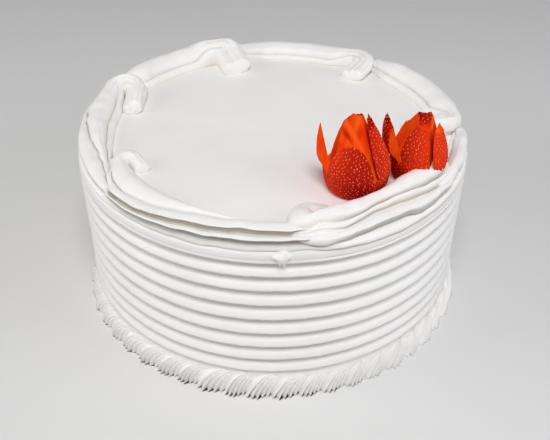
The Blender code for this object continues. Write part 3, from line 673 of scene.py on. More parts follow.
def close_up(piece):
    """Merge the points that meet at seams and poles, and turn the faces outwards."""
    take_up(piece)
    bpy.ops.object.mode_set(mode="EDIT")
    bpy.ops.mesh.select_all(action="SELECT")
    bpy.ops.mesh.remove_doubles(threshold=0.02 * MM)
    bpy.ops.mesh.select_all(action="SELECT")
    bpy.ops.mesh.normals_make_consistent(inside=False)
    bpy.ops.object.mode_set(mode="OBJECT")
    bpy.ops.object.shade_smooth()


def name_piece(piece, name):
    """Give a piece and its mesh the same name."""
    piece.name = name
    piece.data.name = name
    return piece


def lay_grid(name, points, values, material):
    """Add a grid whose rows and columns take the places in an array, with values on its points."""
    rows, columns = points.shape[:2]
    deselect_all()
    bpy.ops.mesh.primitive_grid_add(x_subdivisions=columns - 1, y_subdivisions=rows - 1, size=1.0)
    piece = name_piece(bpy.context.object, name)
    write_points(piece, points)
    for key, numbers in values.items():
        store_value(piece, key, numbers)
    close_up(piece)
    piece.data.materials.append(material)
    return piece


def add_ball(segments, rings):
    """Add a ball of radius 1 that is still to be shaped."""
    deselect_all()
    bpy.ops.mesh.primitive_uv_sphere_add(segments=segments, ring_count=rings, radius=1.0)
    return bpy.context.object


def store_value(piece, key, numbers):
    """Keep one number on each point of a piece, for its material."""
    layer = piece.data.attributes.new(key, "FLOAT", "POINT")
    layer.data.foreach_set("value", np.asarray(numbers, dtype=np.float32).reshape(-1))


def read_points(piece):
    """Places of a piece's points, one row each."""
    flat = np.empty(3 * len(piece.data.vertices), dtype=np.float32)
    piece.data.vertices.foreach_get("co", flat)
    return flat.reshape(-1, 3).astype(float)


def write_points(piece, points):
    """Move a piece's points."""
    piece.data.vertices.foreach_set("co", points.reshape(-1).astype(np.float32))
    piece.data.update()


def polar(radius, azimuth, height):
    """Places at a radius, an azimuth and a height."""
    places = np.broadcast_arrays(radius * np.cos(azimuth), radius * np.sin(azimuth), height)
    return np.stack(places, axis=-1)


def way_out(degrees):
    """Level direction at an azimuth in degrees."""
    return polar(1.0, math.radians(degrees), 0.0)


def forwards(heading):
    """X and Y of the direction of a heading."""
    return np.stack((np.cos(heading), np.sin(heading)), axis=-1)


def sideways(heading):
    """X and Y of the direction to the right of a heading, which is outwards along the rim."""
    return np.stack((np.sin(heading), -np.cos(heading)), axis=-1)


def smooth_step(value):
    """Ease from 0 to 1."""
    value = np.clip(value, 0.0, 1.0)
    return value * value * (3.0 - 2.0 * value)


def bell(distance, width):
    """1 at no distance, falling away on both sides over a width."""
    return np.exp(-(distance / width) ** 2)


def ripple(angle, seed, slowest, fastest, waves=6):
    """Uneven wave from about -1 to 1: a few sines of whole frequencies."""
    chance = random.Random(seed)
    total = 0.0
    for _ in range(waves):
        total = total + np.sin(chance.randint(slowest, fastest) * angle + chance.uniform(0.0, FULL_TURN))
    return total / math.sqrt(2.0 * waves)


def wander(distance, seed, shortest, longest, waves=6):
    """Uneven wave from about -1 to 1 along a length, of wavelengths between two values."""
    chance = random.Random(seed)
    total = 0.0
    for _ in range(waves):
        wavelength = chance.uniform(shortest, longest)
        total = total + np.sin(FULL_TURN * distance / wavelength + chance.uniform(0.0, FULL_TURN))
    return total / math.sqrt(2.0 * waves)


def window(azimuth, start, end, edge):
    """1 between two azimuths in degrees and 0 outside, eased over edge degrees."""
    degrees = np.degrees(azimuth) % 360.0
    return smooth_step((degrees - start) / edge + 0.5) * smooth_step((end - degrees) / edge + 0.5)


def dress(piece, nodes):
    """Let a finished piece stand for its solids: hang it under the root and hide them."""
    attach(piece, "root")
    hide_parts(*nodes)


def icing_rows(cream):
    """Rows of the icing from the middle of its top to the middle of its underside."""
    rows = []
    for i in range(TOP_ROWS):
        rows.append(IcingRow(TOP_REACH * i / (TOP_ROWS - 1), TOP_LEVEL, 0.0, 0.0, LIP_LINE))
    for outline, line in ((LIP, LIP_LINE), (BAND, BAND_LINE)):
        for radius, height, crease in outline:
            rows.append(IcingRow(radius * MM, height * MM, 0.0, crease, line))
    for line, (edge, following) in enumerate(zip(COMB_EDGES, COMB_EDGES[1:])):
        for share, depth in COMB_TOOTH:
            if line < LOW_LINE or share <= LOW_LINE_STOP:
                height = (edge + (following - edge) * share) * MM
                rows.append(IcingRow(cream.ridge_radius, height, depth, 0.0, line))
    last = rows[-1]
    for share in (0.3, 0.6, 1.0):
        radius = last.radius + (cream.foot_radius - last.radius) * share
        left = 1.0 - share
        rows.append(IcingRow(radius, last.height * left, last.groove * left, 0.0, LIP_LINE))
    for share in (0.97, 0.6, 0.0):
        rows.append(IcingRow(cream.foot_radius * share, 0.0, 0.0, 0.0, LIP_LINE))
    return rows


def comb_strength(azimuth):
    """How deep the comb went: fully at the front, less towards the sides."""
    strength = 1.0
    for stretch, missing in LIGHT_COMB:
        strength = strength - missing * window(azimuth, *stretch)
    return strength


def comb_sway(azimuth, height):
    """How far the comb lines wander up and down, least near the top edge and the foot."""
    hold = np.sin(math.pi * np.minimum(1.0, height / CAKE_TOP))
    sway = np.sin(2.0 * azimuth + 0.6) + 0.6 * np.sin(5.0 * azimuth + 40.0 * height)
    return COMB_WAVE * hold * sway


def comb_row(row, azimuth, cream, reach, level):
    """Sink a row of the wall into its comb line, and make it ragged."""
    line = row.line
    ragged = 0.5 * ripple(azimuth, 40 + line, 9, 40) + 0.5 * ripple(azimuth, 80 + line, 60, 150)
    depth = cream.groove_depth * comb_strength(azimuth) * (1.0 + 0.10 * ripple(azimuth, 20 + line, 3, 14))
    filled = LOW_GROOVE if line == LOW_LINE else 1.0
    rough = 1.0 if row.groove < CALM_GROOVE else CALM_GROOVE
    reach = reach - depth * row.groove * filled + RAGGED_EDGE * rough * ragged
    return reach, level + WAVY_EDGE * rough * ripple(azimuth, 60 + line, 12, 70)


def crease_row(row, azimuth, deep, skirt, reach, level):
    """Sink a row of the lip or the band into its crease, which is torn and wanders."""
    tear = np.clip(0.75 + 0.45 * ripple(azimuth, 7, 20, 120), 0.1, 1.6)
    if row.line == BAND_LINE:
        return reach - CREASE_DEPTH * row.crease * (BAND_CREASE_SHARE * skirt) * tear, level
    level = level + CREASE_WANDER * ripple(azimuth, 9, 4, 36)
    return reach - CREASE_DEPTH * row.crease * deep * tear, level


def hang_skirt(row, skirt, reach, level):
    """Draw a row of the edge down and out under the large front scroll."""
    low, peak, high = SKIRT_LEVELS
    if low < row.height < high:
        lowered = min((high - row.height) / (high - peak), (row.height - low) / (peak - low))
        level = level - SKIRT_DROP * lowered * skirt
        if row.height > SKIRT_OUT_FOOT:
            reach = reach + SKIRT_OUT * skirt
    return reach, level


def top_swirls(reach, azimuth, radius):
    """Low swirls of the spatula on the flat top."""
    x, y = reach * np.cos(azimuth), reach * np.sin(azimuth)
    fade = smooth_step(radius / SWIRL_FADE)
    return SWIRL_HEIGHT * fade * np.sin(62.0 * x + 9.0 * np.sin(30.0 * y)) * np.sin(48.0 * y + 1.0)


def on_lip(row):
    """Whether a row is on the rounded lip, above its crease."""
    return row.height > LIP_CREASE_TOP and row.radius > TOP_REACH


def icing_shade(row, deep, skirt, cut_back):
    """How much painted shade a row gets: in grooves and creases, in the front scroll's shadow on the skirt,
    and where the lip is cut back.
    """
    if on_lip(row):
        return CUT_BACK_SHADE * cut_back * smooth_step((row.radius - TOP_REACH) / (2.0 * MM))
    shade = GROOVE_SHADE * max(0.0, row.groove - 0.5) / 0.5 + 0.25 * row.crease * deep
    if row.line == LOW_LINE:
        shade = LOW_GROOVE * shade
    if SKIRT_SHADE_FOOT < row.height < LIP_CREASE_TOP:
        shade = shade + SKIRT_SHADE * skirt
    return shade


def icing_points(cream):
    """Places, crease values and painted shades of the icing's points, row by row."""
    azimuth = np.linspace(0.0, FULL_TURN, CAKE_STEPS + 1)
    azimuth[-1] = 0.0
    deep = 0.30 + 0.70 * window(azimuth, *DEEP_CREASE)
    skirt = window(azimuth, *SKIRT)
    cut_back = window(azimuth, *CUT_BACK)
    points, creases, shades = [], [], []
    for row in icing_rows(cream):
        reach, level = np.full_like(azimuth, row.radius), np.full_like(azimuth, row.height)
        if row.line >= 0:
            reach, level = comb_row(row, azimuth, cream, reach, level)
        if 0.0 < row.height < CAKE_TOP and row.radius > 0.5 * TOP_REACH:
            level = level + comb_sway(azimuth, level)
        if row.crease > 0.0:
            reach, level = crease_row(row, azimuth, deep, skirt, reach, level)
        if on_lip(row):
            reach = reach - CUT_BACK_DEPTH * cut_back * smooth_step((row.radius - TOP_REACH) / (3.0 * MM))
        reach, level = hang_skirt(row, skirt, reach, level)
        if row.height > CAKE_TOP - 0.2 * MM and row.radius < TOP_REACH:
            level = level + top_swirls(reach, azimuth, row.radius)
        points.append(polar(reach, azimuth, level))
        # Yellow tint in the lip's creases, partly painted shade
        creases.append(0.35 * row.crease * deep)
        shades.append(icing_shade(row, deep, skirt, cut_back) * np.ones_like(azimuth))
    return np.array(points), np.array(creases), np.array(shades)


def peak_shape(ball):
    """Move a ball's points to the small peak of cream, with its two tips."""
    side, out, up = ball[:, 0], -ball[:, 1], ball[:, 2]
    low = smooth_step(-1.4 * up)
    tips = sum(-hang * bell(side - place, width) for place, width, hang in PEAK_TIPS)
    width = side * (1.0 - 0.22 * low) * (1.0 + 0.10 * np.sin(4.0 * up + 1.0))
    bulge = out * (0.62 - 0.18 * low) + 0.10 * np.sin(5.0 * side + 2.0) * np.maximum(out, 0.0)
    lift = up * (0.62 + 0.12 * np.sin(3.0 * side)) + low * tips
    ahead, across = way_out(PEAK_AZIMUTH), way_out(PEAK_AZIMUTH + 90.0)
    radius, height = PEAK_PLACE
    wide, thick, tall = PEAK_SIZE
    places = radius * ahead + wide * width[:, None] * across + thick * bulge[:, None] * ahead
    places[:, 2] = height + tall * lift
    return places


def cream_peak(material):
    """The small peak of cream that hangs on the front of the wall."""
    peak = add_ball(32, 24)
    write_points(peak, peak_shape(read_points(peak)))
    close_up(peak)
    peak.data.materials.append(material)
    return peak


def join_pieces(name, pieces):
    """Join several objects into the first one."""
    take_up(pieces[0])
    for piece in pieces[1:]:
        piece.select_set(True)
    bpy.ops.object.join()
    return name_piece(bpy.context.object, name)


def shell_size(phase):
    """Size of a shell along its length, from its full head to its thin tail."""
    phase = phase % 1.0
    rise = np.sqrt(np.clip(1.0 - (1.0 - phase / SHELL_HEAD) ** 2, 0.0, 1.0))
    fall = np.clip((phase - SHELL_HEAD) / (1.0 - SHELL_HEAD), 0.0, 1.0)
    spread = 1.0 - SHELL_TAIL_SIZE
    return np.where(phase < SHELL_HEAD, SHELL_TAIL_SIZE + spread * rise, 1.0 - spread * fall ** 1.3)


def shell_points(shells):
    """Places and crease values of the shell border, in rows round the cake from the foot up."""
    chance = random.Random(11)
    pitch = FULL_TURN / shells.count
    sizes = np.array([1.0 + chance.uniform(-0.08, 0.06) for _ in range(shells.count)])
    shifts = np.array([chance.uniform(-0.10, 0.10) * pitch for _ in range(shells.count)])
    column = np.arange(shells.count * SHELL_COLUMNS + 1)
    shell = (column // SHELL_COLUMNS) % shells.count
    following = (shell + 1) % shells.count
    start = shell * pitch + shifts[shell]
    span = pitch + shifts[following] - shifts[shell]
    foot_phase = (column % SHELL_COLUMNS) / SHELL_COLUMNS
    size = sizes[shell] + (sizes[following] - sizes[shell]) * smooth_step((foot_phase - 0.85) / 0.15)
    beat = foot_phase * shells.ribs
    ridge = 1.0 - np.abs(2.0 * (beat % 1.0) - 1.0)
    tooth = 0.80 + 0.35 * np.sin(2.7 * (np.floor(beat) + shell * shells.ribs) + 1.3 * shell)
    rows, creases = [], []
    for degrees in SHELL_LEVELS:
        rise = (degrees / 90.0) ** 1.4
        phase = foot_phase + (SHELL_FAN + (1.0 - SHELL_FAN) * foot_phase - foot_phase) * rise
        hollow = (1.0 - ridge ** 0.85) * (RIB_HOLLOW_FOOT * (1.0 - rise) ** 1.2 + RIB_HOLLOW)
        point = RIB_POINT * tooth * ridge ** 2.0 * (1.0 - rise) ** 3
        body = size * shell_size(phase) * (1.0 - hollow + point)
        angle = math.radians(degrees)
        azimuth = start + span * (phase + SHELL_LEAN * rise)
        reach = SHELL_INNER + (shells.reach + SHELL_OVERREACH) * body * math.cos(angle) ** 0.6
        reach = reach + SHELL_FLUFF * ripple(azimuth, 300 + int(degrees), 80, 260) * (0.4 + rise)
        height = shells.height * body * math.sin(angle)
        rows.append(polar(reach, azimuth, height))
        # Yellow tint, partly painted shade, in the pits where some shells meet the wall
        creases.append((0.9 if degrees > 80.0 else 0.0) * (phase % 1.0 > 0.8) * (np.sin(5.1 * shell) > 0.0))
    rows.append(polar(SHELL_INNER - SHELL_BACK, azimuth, 0.8 * height))
    rows.append(polar(SHELL_INNER - SHELL_BACK, azimuth, 0.0))
    rows.append(rows[0])
    creases.extend([np.zeros(len(column))] * 3)
    points = np.array(rows)
    points[:, -1] = points[:, 0]
    return points, np.array(creases)


def close_ends(share, at_start, at_end):
    """Shrink a stroke to a round end over a share of its length where it starts or stops."""
    size = np.ones_like(share)
    for rounding, distance in ((at_start, share), (at_end, 1.0 - share)):
        if rounding:
            left = np.clip(1.0 - distance / rounding, 0.0, 1.0)
            size *= np.sqrt(np.clip(1.0 - left ** 2, 0.0004, 1.0))
    return size


def blend_rows(first, second, share):
    """Rows of values between those of two lists, by a share for each place along a rope."""
    first, second = np.array(first, dtype=float), np.array(second, dtype=float)
    return first[:, None] * (1.0 - share) + second[:, None] * share


def even_tail(scroll, share):
    """Radii of the strands' edges, heights of their crests and of the lip along an even tail."""
    hook_width, hook_height = scroll.hook_width * MM, scroll.hook_height * MM
    swell = smooth_step(share / SWELL_SHARE)
    taper = smooth_step((share - TAPER_START) / (1.0 - TAPER_START))
    width = hook_width + (scroll.width * MM - hook_width) * swell
    width = width + (scroll.tip * MM - width) * taper
    height = hook_height * ARCH_FOOT_HEIGHT
    height = height + (scroll.height * MM - height) * smooth_step(share / SETTLE_SHARE)
    height = height * (1.0 - TIP_SINK * taper)
    outer = scroll.rim * MM + (SCROLL_REACH - scroll.rim * MM) * swell
    shares = blend_rows(EVEN_HEAD_STRANDS.edges, EVEN_STRANDS.edges, swell)
    levels = blend_rows(EVEN_HEAD_STRANDS.levels, EVEN_STRANDS.levels, swell)
    return outer - width * (1.0 - shares), height * levels, EVEN_LIP * height


def soften(rows):
    """Rows of values, each smoothed along its length."""
    reach = SOFT_ROWS // 2
    weights = np.hanning(SOFT_ROWS + 2)[1:-1]
    padded = np.pad(rows, ((0, 0), (reach, reach)), mode="edge")
    return np.array([np.convolve(row, weights / weights.sum(), mode="valid") for row in padded])


def uneven_tail(stations, azimuth):
    """Radii of the strands' edges, heights of their crests and of the lip, between stations."""
    places = np.array([station.azimuth for station in stations], dtype=float)
    values = np.array([station.edges + station.crests + (station.lip,) for station in stations]) * MM
    degrees = np.degrees(azimuth)
    index = np.clip(np.searchsorted(places, degrees) - 1, 0, len(places) - 2)
    share = np.clip((degrees - places[index]) / (places[index + 1] - places[index]), 0.0, 1.0)
    share = 0.5 * (share + smooth_step(share))[:, None]
    mixed = soften((values[index] * (1.0 - share) + values[index + 1] * share).T)
    count = len(stations[0].edges)
    return mixed[:count], mixed[count:-1], mixed[-1]


def hook_path(index, middle):
    """Centre, heading, width, height and share of the arch along a stroke's limb and arch."""
    scroll = SCROLLS[index]
    start = math.radians(scroll.azimuth)
    width, height, curl = scroll.hook_width * MM, scroll.hook_height * MM, scroll.curl * MM
    pivot = forwards(start) * (middle - curl)
    turn = math.pi - math.radians(scroll.lean)
    first = start + 0.5 * math.pi - turn
    low = FRONT_LIMB_END_HEIGHT if index == FRONT_SCROLL else LIMB_END_HEIGHT
    share = np.linspace(0.0, 1.0, LIMB_ROWS, endpoint=False) ** 1.5
    size = close_ends(share, LIMB_END_ROUND, None)
    back = (scroll.limb * MM * (1.0 - share))[:, None]
    limb = (pivot + curl * sideways(first) - forwards(first) * back,
            np.full_like(share, first), width * size,
            height * size * (low + (ARCH_FOOT_HEIGHT - low) * share), np.zeros_like(share))
    share = np.linspace(0.0, 1.0, ARCH_ROWS, endpoint=False)
    heading = first + turn * share
    arch = (pivot + curl * sideways(heading), heading,
            np.full_like(share, width),
            height * (ARCH_FOOT_HEIGHT + (1.0 - ARCH_FOOT_HEIGHT) * np.sin(math.pi * share)), share)
    return [np.concatenate(pair) for pair in zip(limb, arch)]


def hook_rows(index, edges, crests, lip):
    """Rows of a stroke's limb and arch, which run into the first row of its tail."""
    centre, heading, widths, heights, share = hook_path(index, 0.5 * (edges[0] + edges[-1]))
    strands = HEAD_STRANDS.get(index, EVEN_HEAD_STRANDS)
    tail_width, tallest = edges[-1] - edges[0], crests.max()
    ease = smooth_step(share)
    spread = ease
    if index == FRONT_SCROLL:
        spread = smooth_step((share - LATE_START) / (1.0 - LATE_START))
    shares = blend_rows(strands.edges, (edges - edges[0]) / tail_width, spread) - 0.5
    levels = blend_rows(strands.levels, crests / tallest, spread)
    hook_crests = levels * (heights + (tallest - heights) * ease)
    hook_lip = EVEN_LIP * hook_crests[-1]
    hook_edges = shares * (widths + (tail_width - widths) * ease)
    if index == FRONT_SCROLL:
        hook_edges[0] -= FRONT_FILL * (1.0 - ease) * widths / widths[-1]
    return centre, heading, hook_edges, hook_crests, hook_lip + (lip - hook_lip) * ease


def strand_arch(inner, outer, crest, lows, build, hooked):
    """Arch of one strand over its width: it leans outwards and its outer side is tucked in."""
    angle = math.pi * (1.0 - STRAND_SHARE)
    up = np.sin(angle)
    half = 0.5 * (outer - inner)
    across = 0.5 * (inner + outer) + half * np.cos(angle) + build.lean * half * up
    under = np.minimum(build.under * MM, 0.6 * half) * (1.0 - 0.8 * hooked)
    across = across - under * (1.0 - up) ** 2.5 * (STRAND_SHARE > 0.5)
    fall = build.fall + (HOOK_FALL - build.fall) * hooked
    low = np.where(STRAND_SHARE < 0.5, lows[0], lows[1])
    return across, low + (crest - low) * up ** np.where(STRAND_SHARE < 0.5, build.rise, fall)


def strand_dents(build, seed, number, distance, hooked):
    """How deep the two lines and the fine drag marks along a strand are."""
    dents = 0.0
    for place, deepest in STRAND_LINES:
        middle = place + LINE_WANDER * wander(distance, seed + 40 + number, 14 * MM, 50 * MM)
        depth = MM * build.lines * deepest * (1.0 + HOOK_LINES * hooked)
        dents = dents + depth * bell(STRAND_SHARE - middle, LINE_WIDTH)
    marks = np.array([wander(distance, seed + 60 + 50 * number + k, 8 * MM, 40 * MM, 3)
                      for k in range(STRAND_COLUMNS)])
    return dents + DRAG_DEPTH * marks * np.sin(math.pi * STRAND_SHARE)


def strand_values(number, count, shades, hooked):
    """Crease values and painted shades over a strand: yellow, partly painted shade, in its creases, and
    painted shade at its feet.
    """
    everywhere = np.ones_like(hooked)
    inner = (FOOT_CREASE if number == 0 else STRAND_CREASE) * np.exp(-STRAND_SHARE / 0.05)
    outer = (STRAND_CREASE if number < count - 1 else 0.0) * np.exp(-(1.0 - STRAND_SHARE) / 0.10)
    ahead, behind = shades
    recess = ahead * bell(1.0 - STRAND_SHARE, 0.10) + behind * bell(STRAND_SHARE, 0.07)
    return np.maximum(inner, outer) * everywhere, recess * (1.0 - 0.9 * hooked)


def crease_levels(index, crests, lip, distance, hooked):
    """Heights of the creases between the strands, from the rope's inner foot to its outer edge."""
    share = CREASE_SHARE + HOOK_CREASE_SHARE * hooked
    if index == LEFT_ROPE:
        share = share - LEFT_ROPE_DEEPER * (1.0 - hooked)
    between = [np.minimum(crest, following) * share for crest, following in zip(crests, crests[1:])]
    edge = lip + LIP_WANDER * wander(distance, rope_seed(index) + 15, 7 * MM, 26 * MM)
    return [np.zeros_like(distance)] + between + [edge]


def rope_seed(index):
    """Start of the random draws of one stroke."""
    return 1000 + 37 * index


def underside(index, rings, outward, crest):
    """Rings under a rope: its outer edge is cut back, then its floor runs in to its inner foot."""
    small = np.clip(crest / (3.0 * MM), 0.02, 1.0)
    cut_back = (LEFT_ROPE_UNDERCUT if index == LEFT_ROPE else UNDERCUT) * small
    edge = rings[-1]
    drop = edge[:, 2] - CAKE_TOP + EDGE_SINK * small
    under = []
    for inwards, lower in UNDERSIDE_STEPS:
        ring = edge.copy()
        ring[:, :2] -= outward * (inwards * cut_back)[:, None]
        ring[:, 2] -= lower * drop
        under.append(ring)
    for share in FLOOR_STEPS:
        ring = under[-1] * (1.0 - share) + rings[0] * share
        ring[:, 2] = CAKE_TOP - ROPE_SINK
        under.append(ring)
    return under


def rope_surface(index, rows, distance, hooked):
    """Surface round a rope from the edges and crests of its strands along it."""
    centre, heading, edges, crests, lip = rows
    seed = rope_seed(index)
    builds = BUILDS.get(index, EVEN_BUILDS)
    for number in range(1, len(edges)):
        edges[number] += EDGE_WANDER * wander(distance, seed + number, 9 * MM, 36 * MM)
    lows = crease_levels(index, crests, lip, distance, hooked)
    outward = sideways(heading)
    rings, values, shades = [], [], []
    for number, build in enumerate(builds):
        swelling = CREST_WANDER * wander(distance, seed + 20 + number, 10 * MM, 44 * MM)
        crest = crests[number] * (1.0 + swelling)
        x, z = strand_arch(edges[number], edges[number + 1], crest, lows[number:number + 2], build, hooked)
        along_x, along_z = np.gradient(x, axis=0), np.gradient(z, axis=0)
        length = np.hypot(along_x, along_z) + 1e-9
        dents = strand_dents(build, seed, number, distance, hooked)
        for across, rise in zip(x + dents * along_z / length, z - dents * along_x / length):
            place = centre + outward * across[:, None]
            rings.append(np.concatenate((place, (CAKE_TOP + rise)[:, None]), axis=1))
        crease, shade = strand_values(number, len(builds), build.shades, hooked)
        values.extend(crease)
        shades.extend(shade)
    rings.extend(underside(index, rings, outward, crests[-1]))
    values.extend([np.full_like(distance, UNDER_CREASE)] * len(UNDERSIDE_STEPS))
    # Painted shade under the rope's overhanging outer edge
    shades.extend([builds[-1].shades[0] * (1.0 - hooked)] * len(UNDERSIDE_STEPS))
    values.extend([np.zeros_like(distance)] * len(FLOOR_STEPS))
    shades.extend([np.zeros_like(distance)] * len(FLOOR_STEPS))
    points = np.array(rings + rings[:1]).transpose(1, 0, 2)
    for end in (0, -1):
        points[end] = points[end].mean(axis=0)
    return points, np.array(values + values[:1]).T, np.array(shades + shades[:1]).T


def scroll_points(index):
    """Places, crease values and painted shades of one piped stroke, row by row along it."""
    scroll = SCROLLS[index]
    share = np.linspace(0.0, 1.0, TAIL_ROWS)
    azimuth = np.radians(scroll.azimuth + (scroll.end - scroll.azimuth) * share)
    stations = ROPE_STATIONS.get(index)
    edges, crests, lip = uneven_tail(stations, azimuth) if stations else even_tail(scroll, share)
    size = close_ends(share, None if scroll.curl else TIP_CLOSE, TIP_CLOSE)
    middle = 0.5 * (edges[0] + edges[-1])
    centre = middle[:, None] * forwards(azimuth)
    rows = (centre, azimuth + 0.5 * math.pi, (edges - middle) * size, crests * size, lip * size)
    head_count = 0
    if scroll.curl:
        head = hook_rows(index, edges[:, 0], crests[:, 0], lip[0])
        head_count = len(head[1])
        rows = [np.concatenate((first, second), axis=0 if first.ndim == 1 or first.shape[1] == 2 else 1)
                for first, second in zip(head, rows)]
    steps = np.linalg.norm(np.diff(rows[0], axis=0), axis=1)
    distance = np.concatenate(((0.0,), np.cumsum(steps)))
    hooked = np.zeros_like(distance)
    if head_count:
        hooked = 1.0 - smooth_step((distance - distance[head_count - 1]) / HOOK_EASE)
    return rope_surface(index, rows, distance, hooked)


def berry_radius(berry, height):
    """Outer radius of an uncut strawberry at heights above its stem end."""
    share = height / (berry.height * MM)
    full = berry.radius * MM
    drop = np.clip((BERRY_WIDEST - share) / BERRY_WIDEST, 0.0, 1.0)
    rise = np.clip((share - BERRY_WIDEST) / (BERRY_POINT - BERRY_WIDEST), 0.0, 1.0)
    low = full * (1.0 - (1.0 - BERRY_BASE_SHARE) * drop * drop)
    high = full * (1.0 - rise ** 1.7) ** 0.8
    return np.where(share < BERRY_WIDEST, low, high)


def berry_outline(berry):
    """Outline of an uncut strawberry from the middle of its base to its tip, with its run length."""
    top = berry.height * MM
    base = float(berry_radius(berry, np.array(0.0)))
    radii, heights = [0.0, base - BERRY_BASE_ROUND], [0.0, 0.0]
    for degrees in (30, 60, 90):
        angle = math.radians(degrees)
        radii.append(base - BERRY_BASE_ROUND * (1.0 - math.sin(angle)))
        heights.append(BERRY_BASE_ROUND * (1.0 - math.cos(angle)))
    body = np.linspace(BERRY_BASE_ROUND, top, 120)[1:]
    radii, heights = np.array([*radii, *berry_radius(berry, body), 0.0]), np.array([*heights, *body, top])
    run = np.concatenate(((0.0,), np.cumsum(np.hypot(np.diff(radii), np.diff(heights)))))
    return radii, heights, run


def seed_places(berry, spacing, seed):
    """Spiral of seeds over the skin: azimuth and run along the outline, each a little off its place."""
    radii, _, run = berry_outline(berry)
    chance = random.Random(seed)
    fine = np.linspace(run[SKIN_START], run[-1], 400)
    around = FULL_TURN * np.interp(fine, run, radii)
    area = np.concatenate(((0.0,), np.cumsum(0.5 * (around[1:] + around[:-1]) * np.diff(fine))))
    count = int(area[-1] / spacing ** 2)
    golden = math.pi * (3.0 - math.sqrt(5.0))
    places = []
    for k in range(count):
        along = float(np.interp((k + 0.5) * area[-1] / count, area, fine))
        azimuth = (k * golden + chance.uniform(-0.05, 0.05)) % FULL_TURN
        places.append((azimuth, along + chance.uniform(-0.12, 0.12) * spacing))
    return np.array(places)


def skin_frame(berry, azimuth, along):
    """Point on the skin, the direction out of it and the direction up along it."""
    radii, heights, run = berry_outline(berry)
    step = 0.4 * MM
    rise = np.interp(along + step, run, heights) - np.interp(along - step, run, heights)
    spread = np.interp(along + step, run, radii) - np.interp(along - step, run, radii)
    length = np.hypot(rise, spread)[:, None]
    point = polar(np.interp(along, run, radii), azimuth, np.interp(along, run, heights))
    return point, polar(rise, azimuth, -spread) / length, polar(spread, azimuth, rise) / length


def berry_blank(berry, sizes, middles):
    """The uncut strawberry: a ball shaped to the outline, with a dimple for every seed."""
    blank = add_ball(180, 110)
    ball = read_points(blank)
    share = 1.0 - np.arccos(np.clip(ball[:, 2], -1.0, 1.0)) / math.pi
    azimuth = np.arctan2(ball[:, 1], ball[:, 0]) % FULL_TURN
    radii, heights, run = berry_outline(berry)
    base = run[SKIN_START]
    along = np.where(share < BASE_RINGS, base * share / BASE_RINGS,
                     base + (run[-1] - base) * (share - BASE_RINGS) / (1.0 - BASE_RINGS))
    radius = np.interp(along, run, radii)
    height = np.interp(along, run, heights)
    points = polar(radius, azimuth, height)
    nearest = np.full(len(points), 1.0)
    for middle in middles:
        nearest = np.minimum(nearest, np.linalg.norm(points - middle, axis=1))
    on_skin = along > base
    pillow = np.clip(nearest / (0.55 * sizes.seed_spacing), 0.0, 1.0) ** 2 * on_skin
    dimple = bell(nearest, DIMPLE_WIDTH) * on_skin
    normal = skin_frame(berry, azimuth, np.clip(along, base, run[-1] - 0.5 * MM))[1]
    points += normal * (PILLOW_HEIGHT * pillow - sizes.dimple_depth * dimple)[:, None]
    ragged = smooth_step((height / (berry.height * MM) - RAGGED_START) / RAGGED_EASE)
    torn = np.clip(0.5 + 0.5 * ripple(azimuth, 77, 4, 19) + 0.4 * ripple(azimuth, 78, 21, 45), 0.0, 1.4)
    off_axis = smooth_step(radius / (2.2 * MM))
    points[:, 2] -= RAGGED_DEPTH * ragged * (0.6 + off_axis * (torn - 0.6))
    write_points(blank, points)
    store_value(blank, "dimple", bell(nearest, RING_WIDTH) * on_skin)
    take_up(blank)
    bpy.ops.object.shade_smooth()
    return blank


def copy_piece(piece, name):
    """Copy of a piece with its own mesh."""
    twin = piece.copy()
    twin.data = piece.data.copy()
    twin.name = name
    bpy.context.scene.collection.objects.link(twin)
    return twin


def cut_piece(piece, point, normal):
    """Cut away what lies ahead of a plane, and close the cut with flesh."""
    take_up(piece)
    bpy.ops.object.mode_set(mode="EDIT")
    bpy.ops.mesh.select_all(action="SELECT")
    bpy.ops.mesh.bisect(plane_co=point, plane_no=normal, use_fill=True, clear_outer=True,
                        threshold=CUT_THRESHOLD)
    bpy.ops.object.mode_set(mode="OBJECT")
    for face in piece.data.polygons:
        if face.select and abs(face.normal.dot(normal)) > 0.999:
            face.material_index = 1


def bend_out(points, berry, cut):
    """Bend a slice's points outwards above the cup, more the higher they are."""
    outward = way_out(cut.azimuth)
    hinge_height = CUP_HEIGHT - SLICE_ROOT
    hinge_out = float(berry_radius(berry, np.array(CUP_HEIGHT)))
    reach = points @ outward - hinge_out
    lift = points[:, 2] - hinge_height
    bend = math.radians(cut.lean) * smooth_step((points[:, 2] - CUP_HEIGHT + 1.0 * MM) / BEND_LENGTH)
    turned_reach = reach * np.cos(bend) + lift * np.sin(bend)
    turned_lift = lift * np.cos(bend) - reach * np.sin(bend)
    moved = points + outward * (turned_reach - reach)[:, None]
    moved[:, 2] = hinge_height + turned_lift
    return moved


def cut_plane(berry, cut):
    """A point on a slice's cutting plane and the plane's outward normal."""
    outward = Vector(way_out(cut.azimuth))
    foot = outward * cut.foot * MM + UP * CUP_HEIGHT
    tip = outward * cut.tip * MM + UP * berry.height * MM
    normal = (tip - foot).cross(UP.cross(outward)).normalized()
    if normal.dot(outward) < 0.0:
        normal.negate()
    return foot, normal


def top_plane(cut):
    """A point on the plane that cuts a slice's top off aslant, and the plane's upward normal."""
    outward = Vector(way_out(cut.azimuth))
    aslant = Vector(polar(0.7, math.radians(cut.azimuth), 1.0)).normalized()
    return outward * cut.tip * MM + UP * cut.top * MM, aslant


def ahead_of(points, plane):
    """How far points lie ahead of a plane."""
    point, normal = plane
    return (points - np.array(point)) @ np.array(normal)


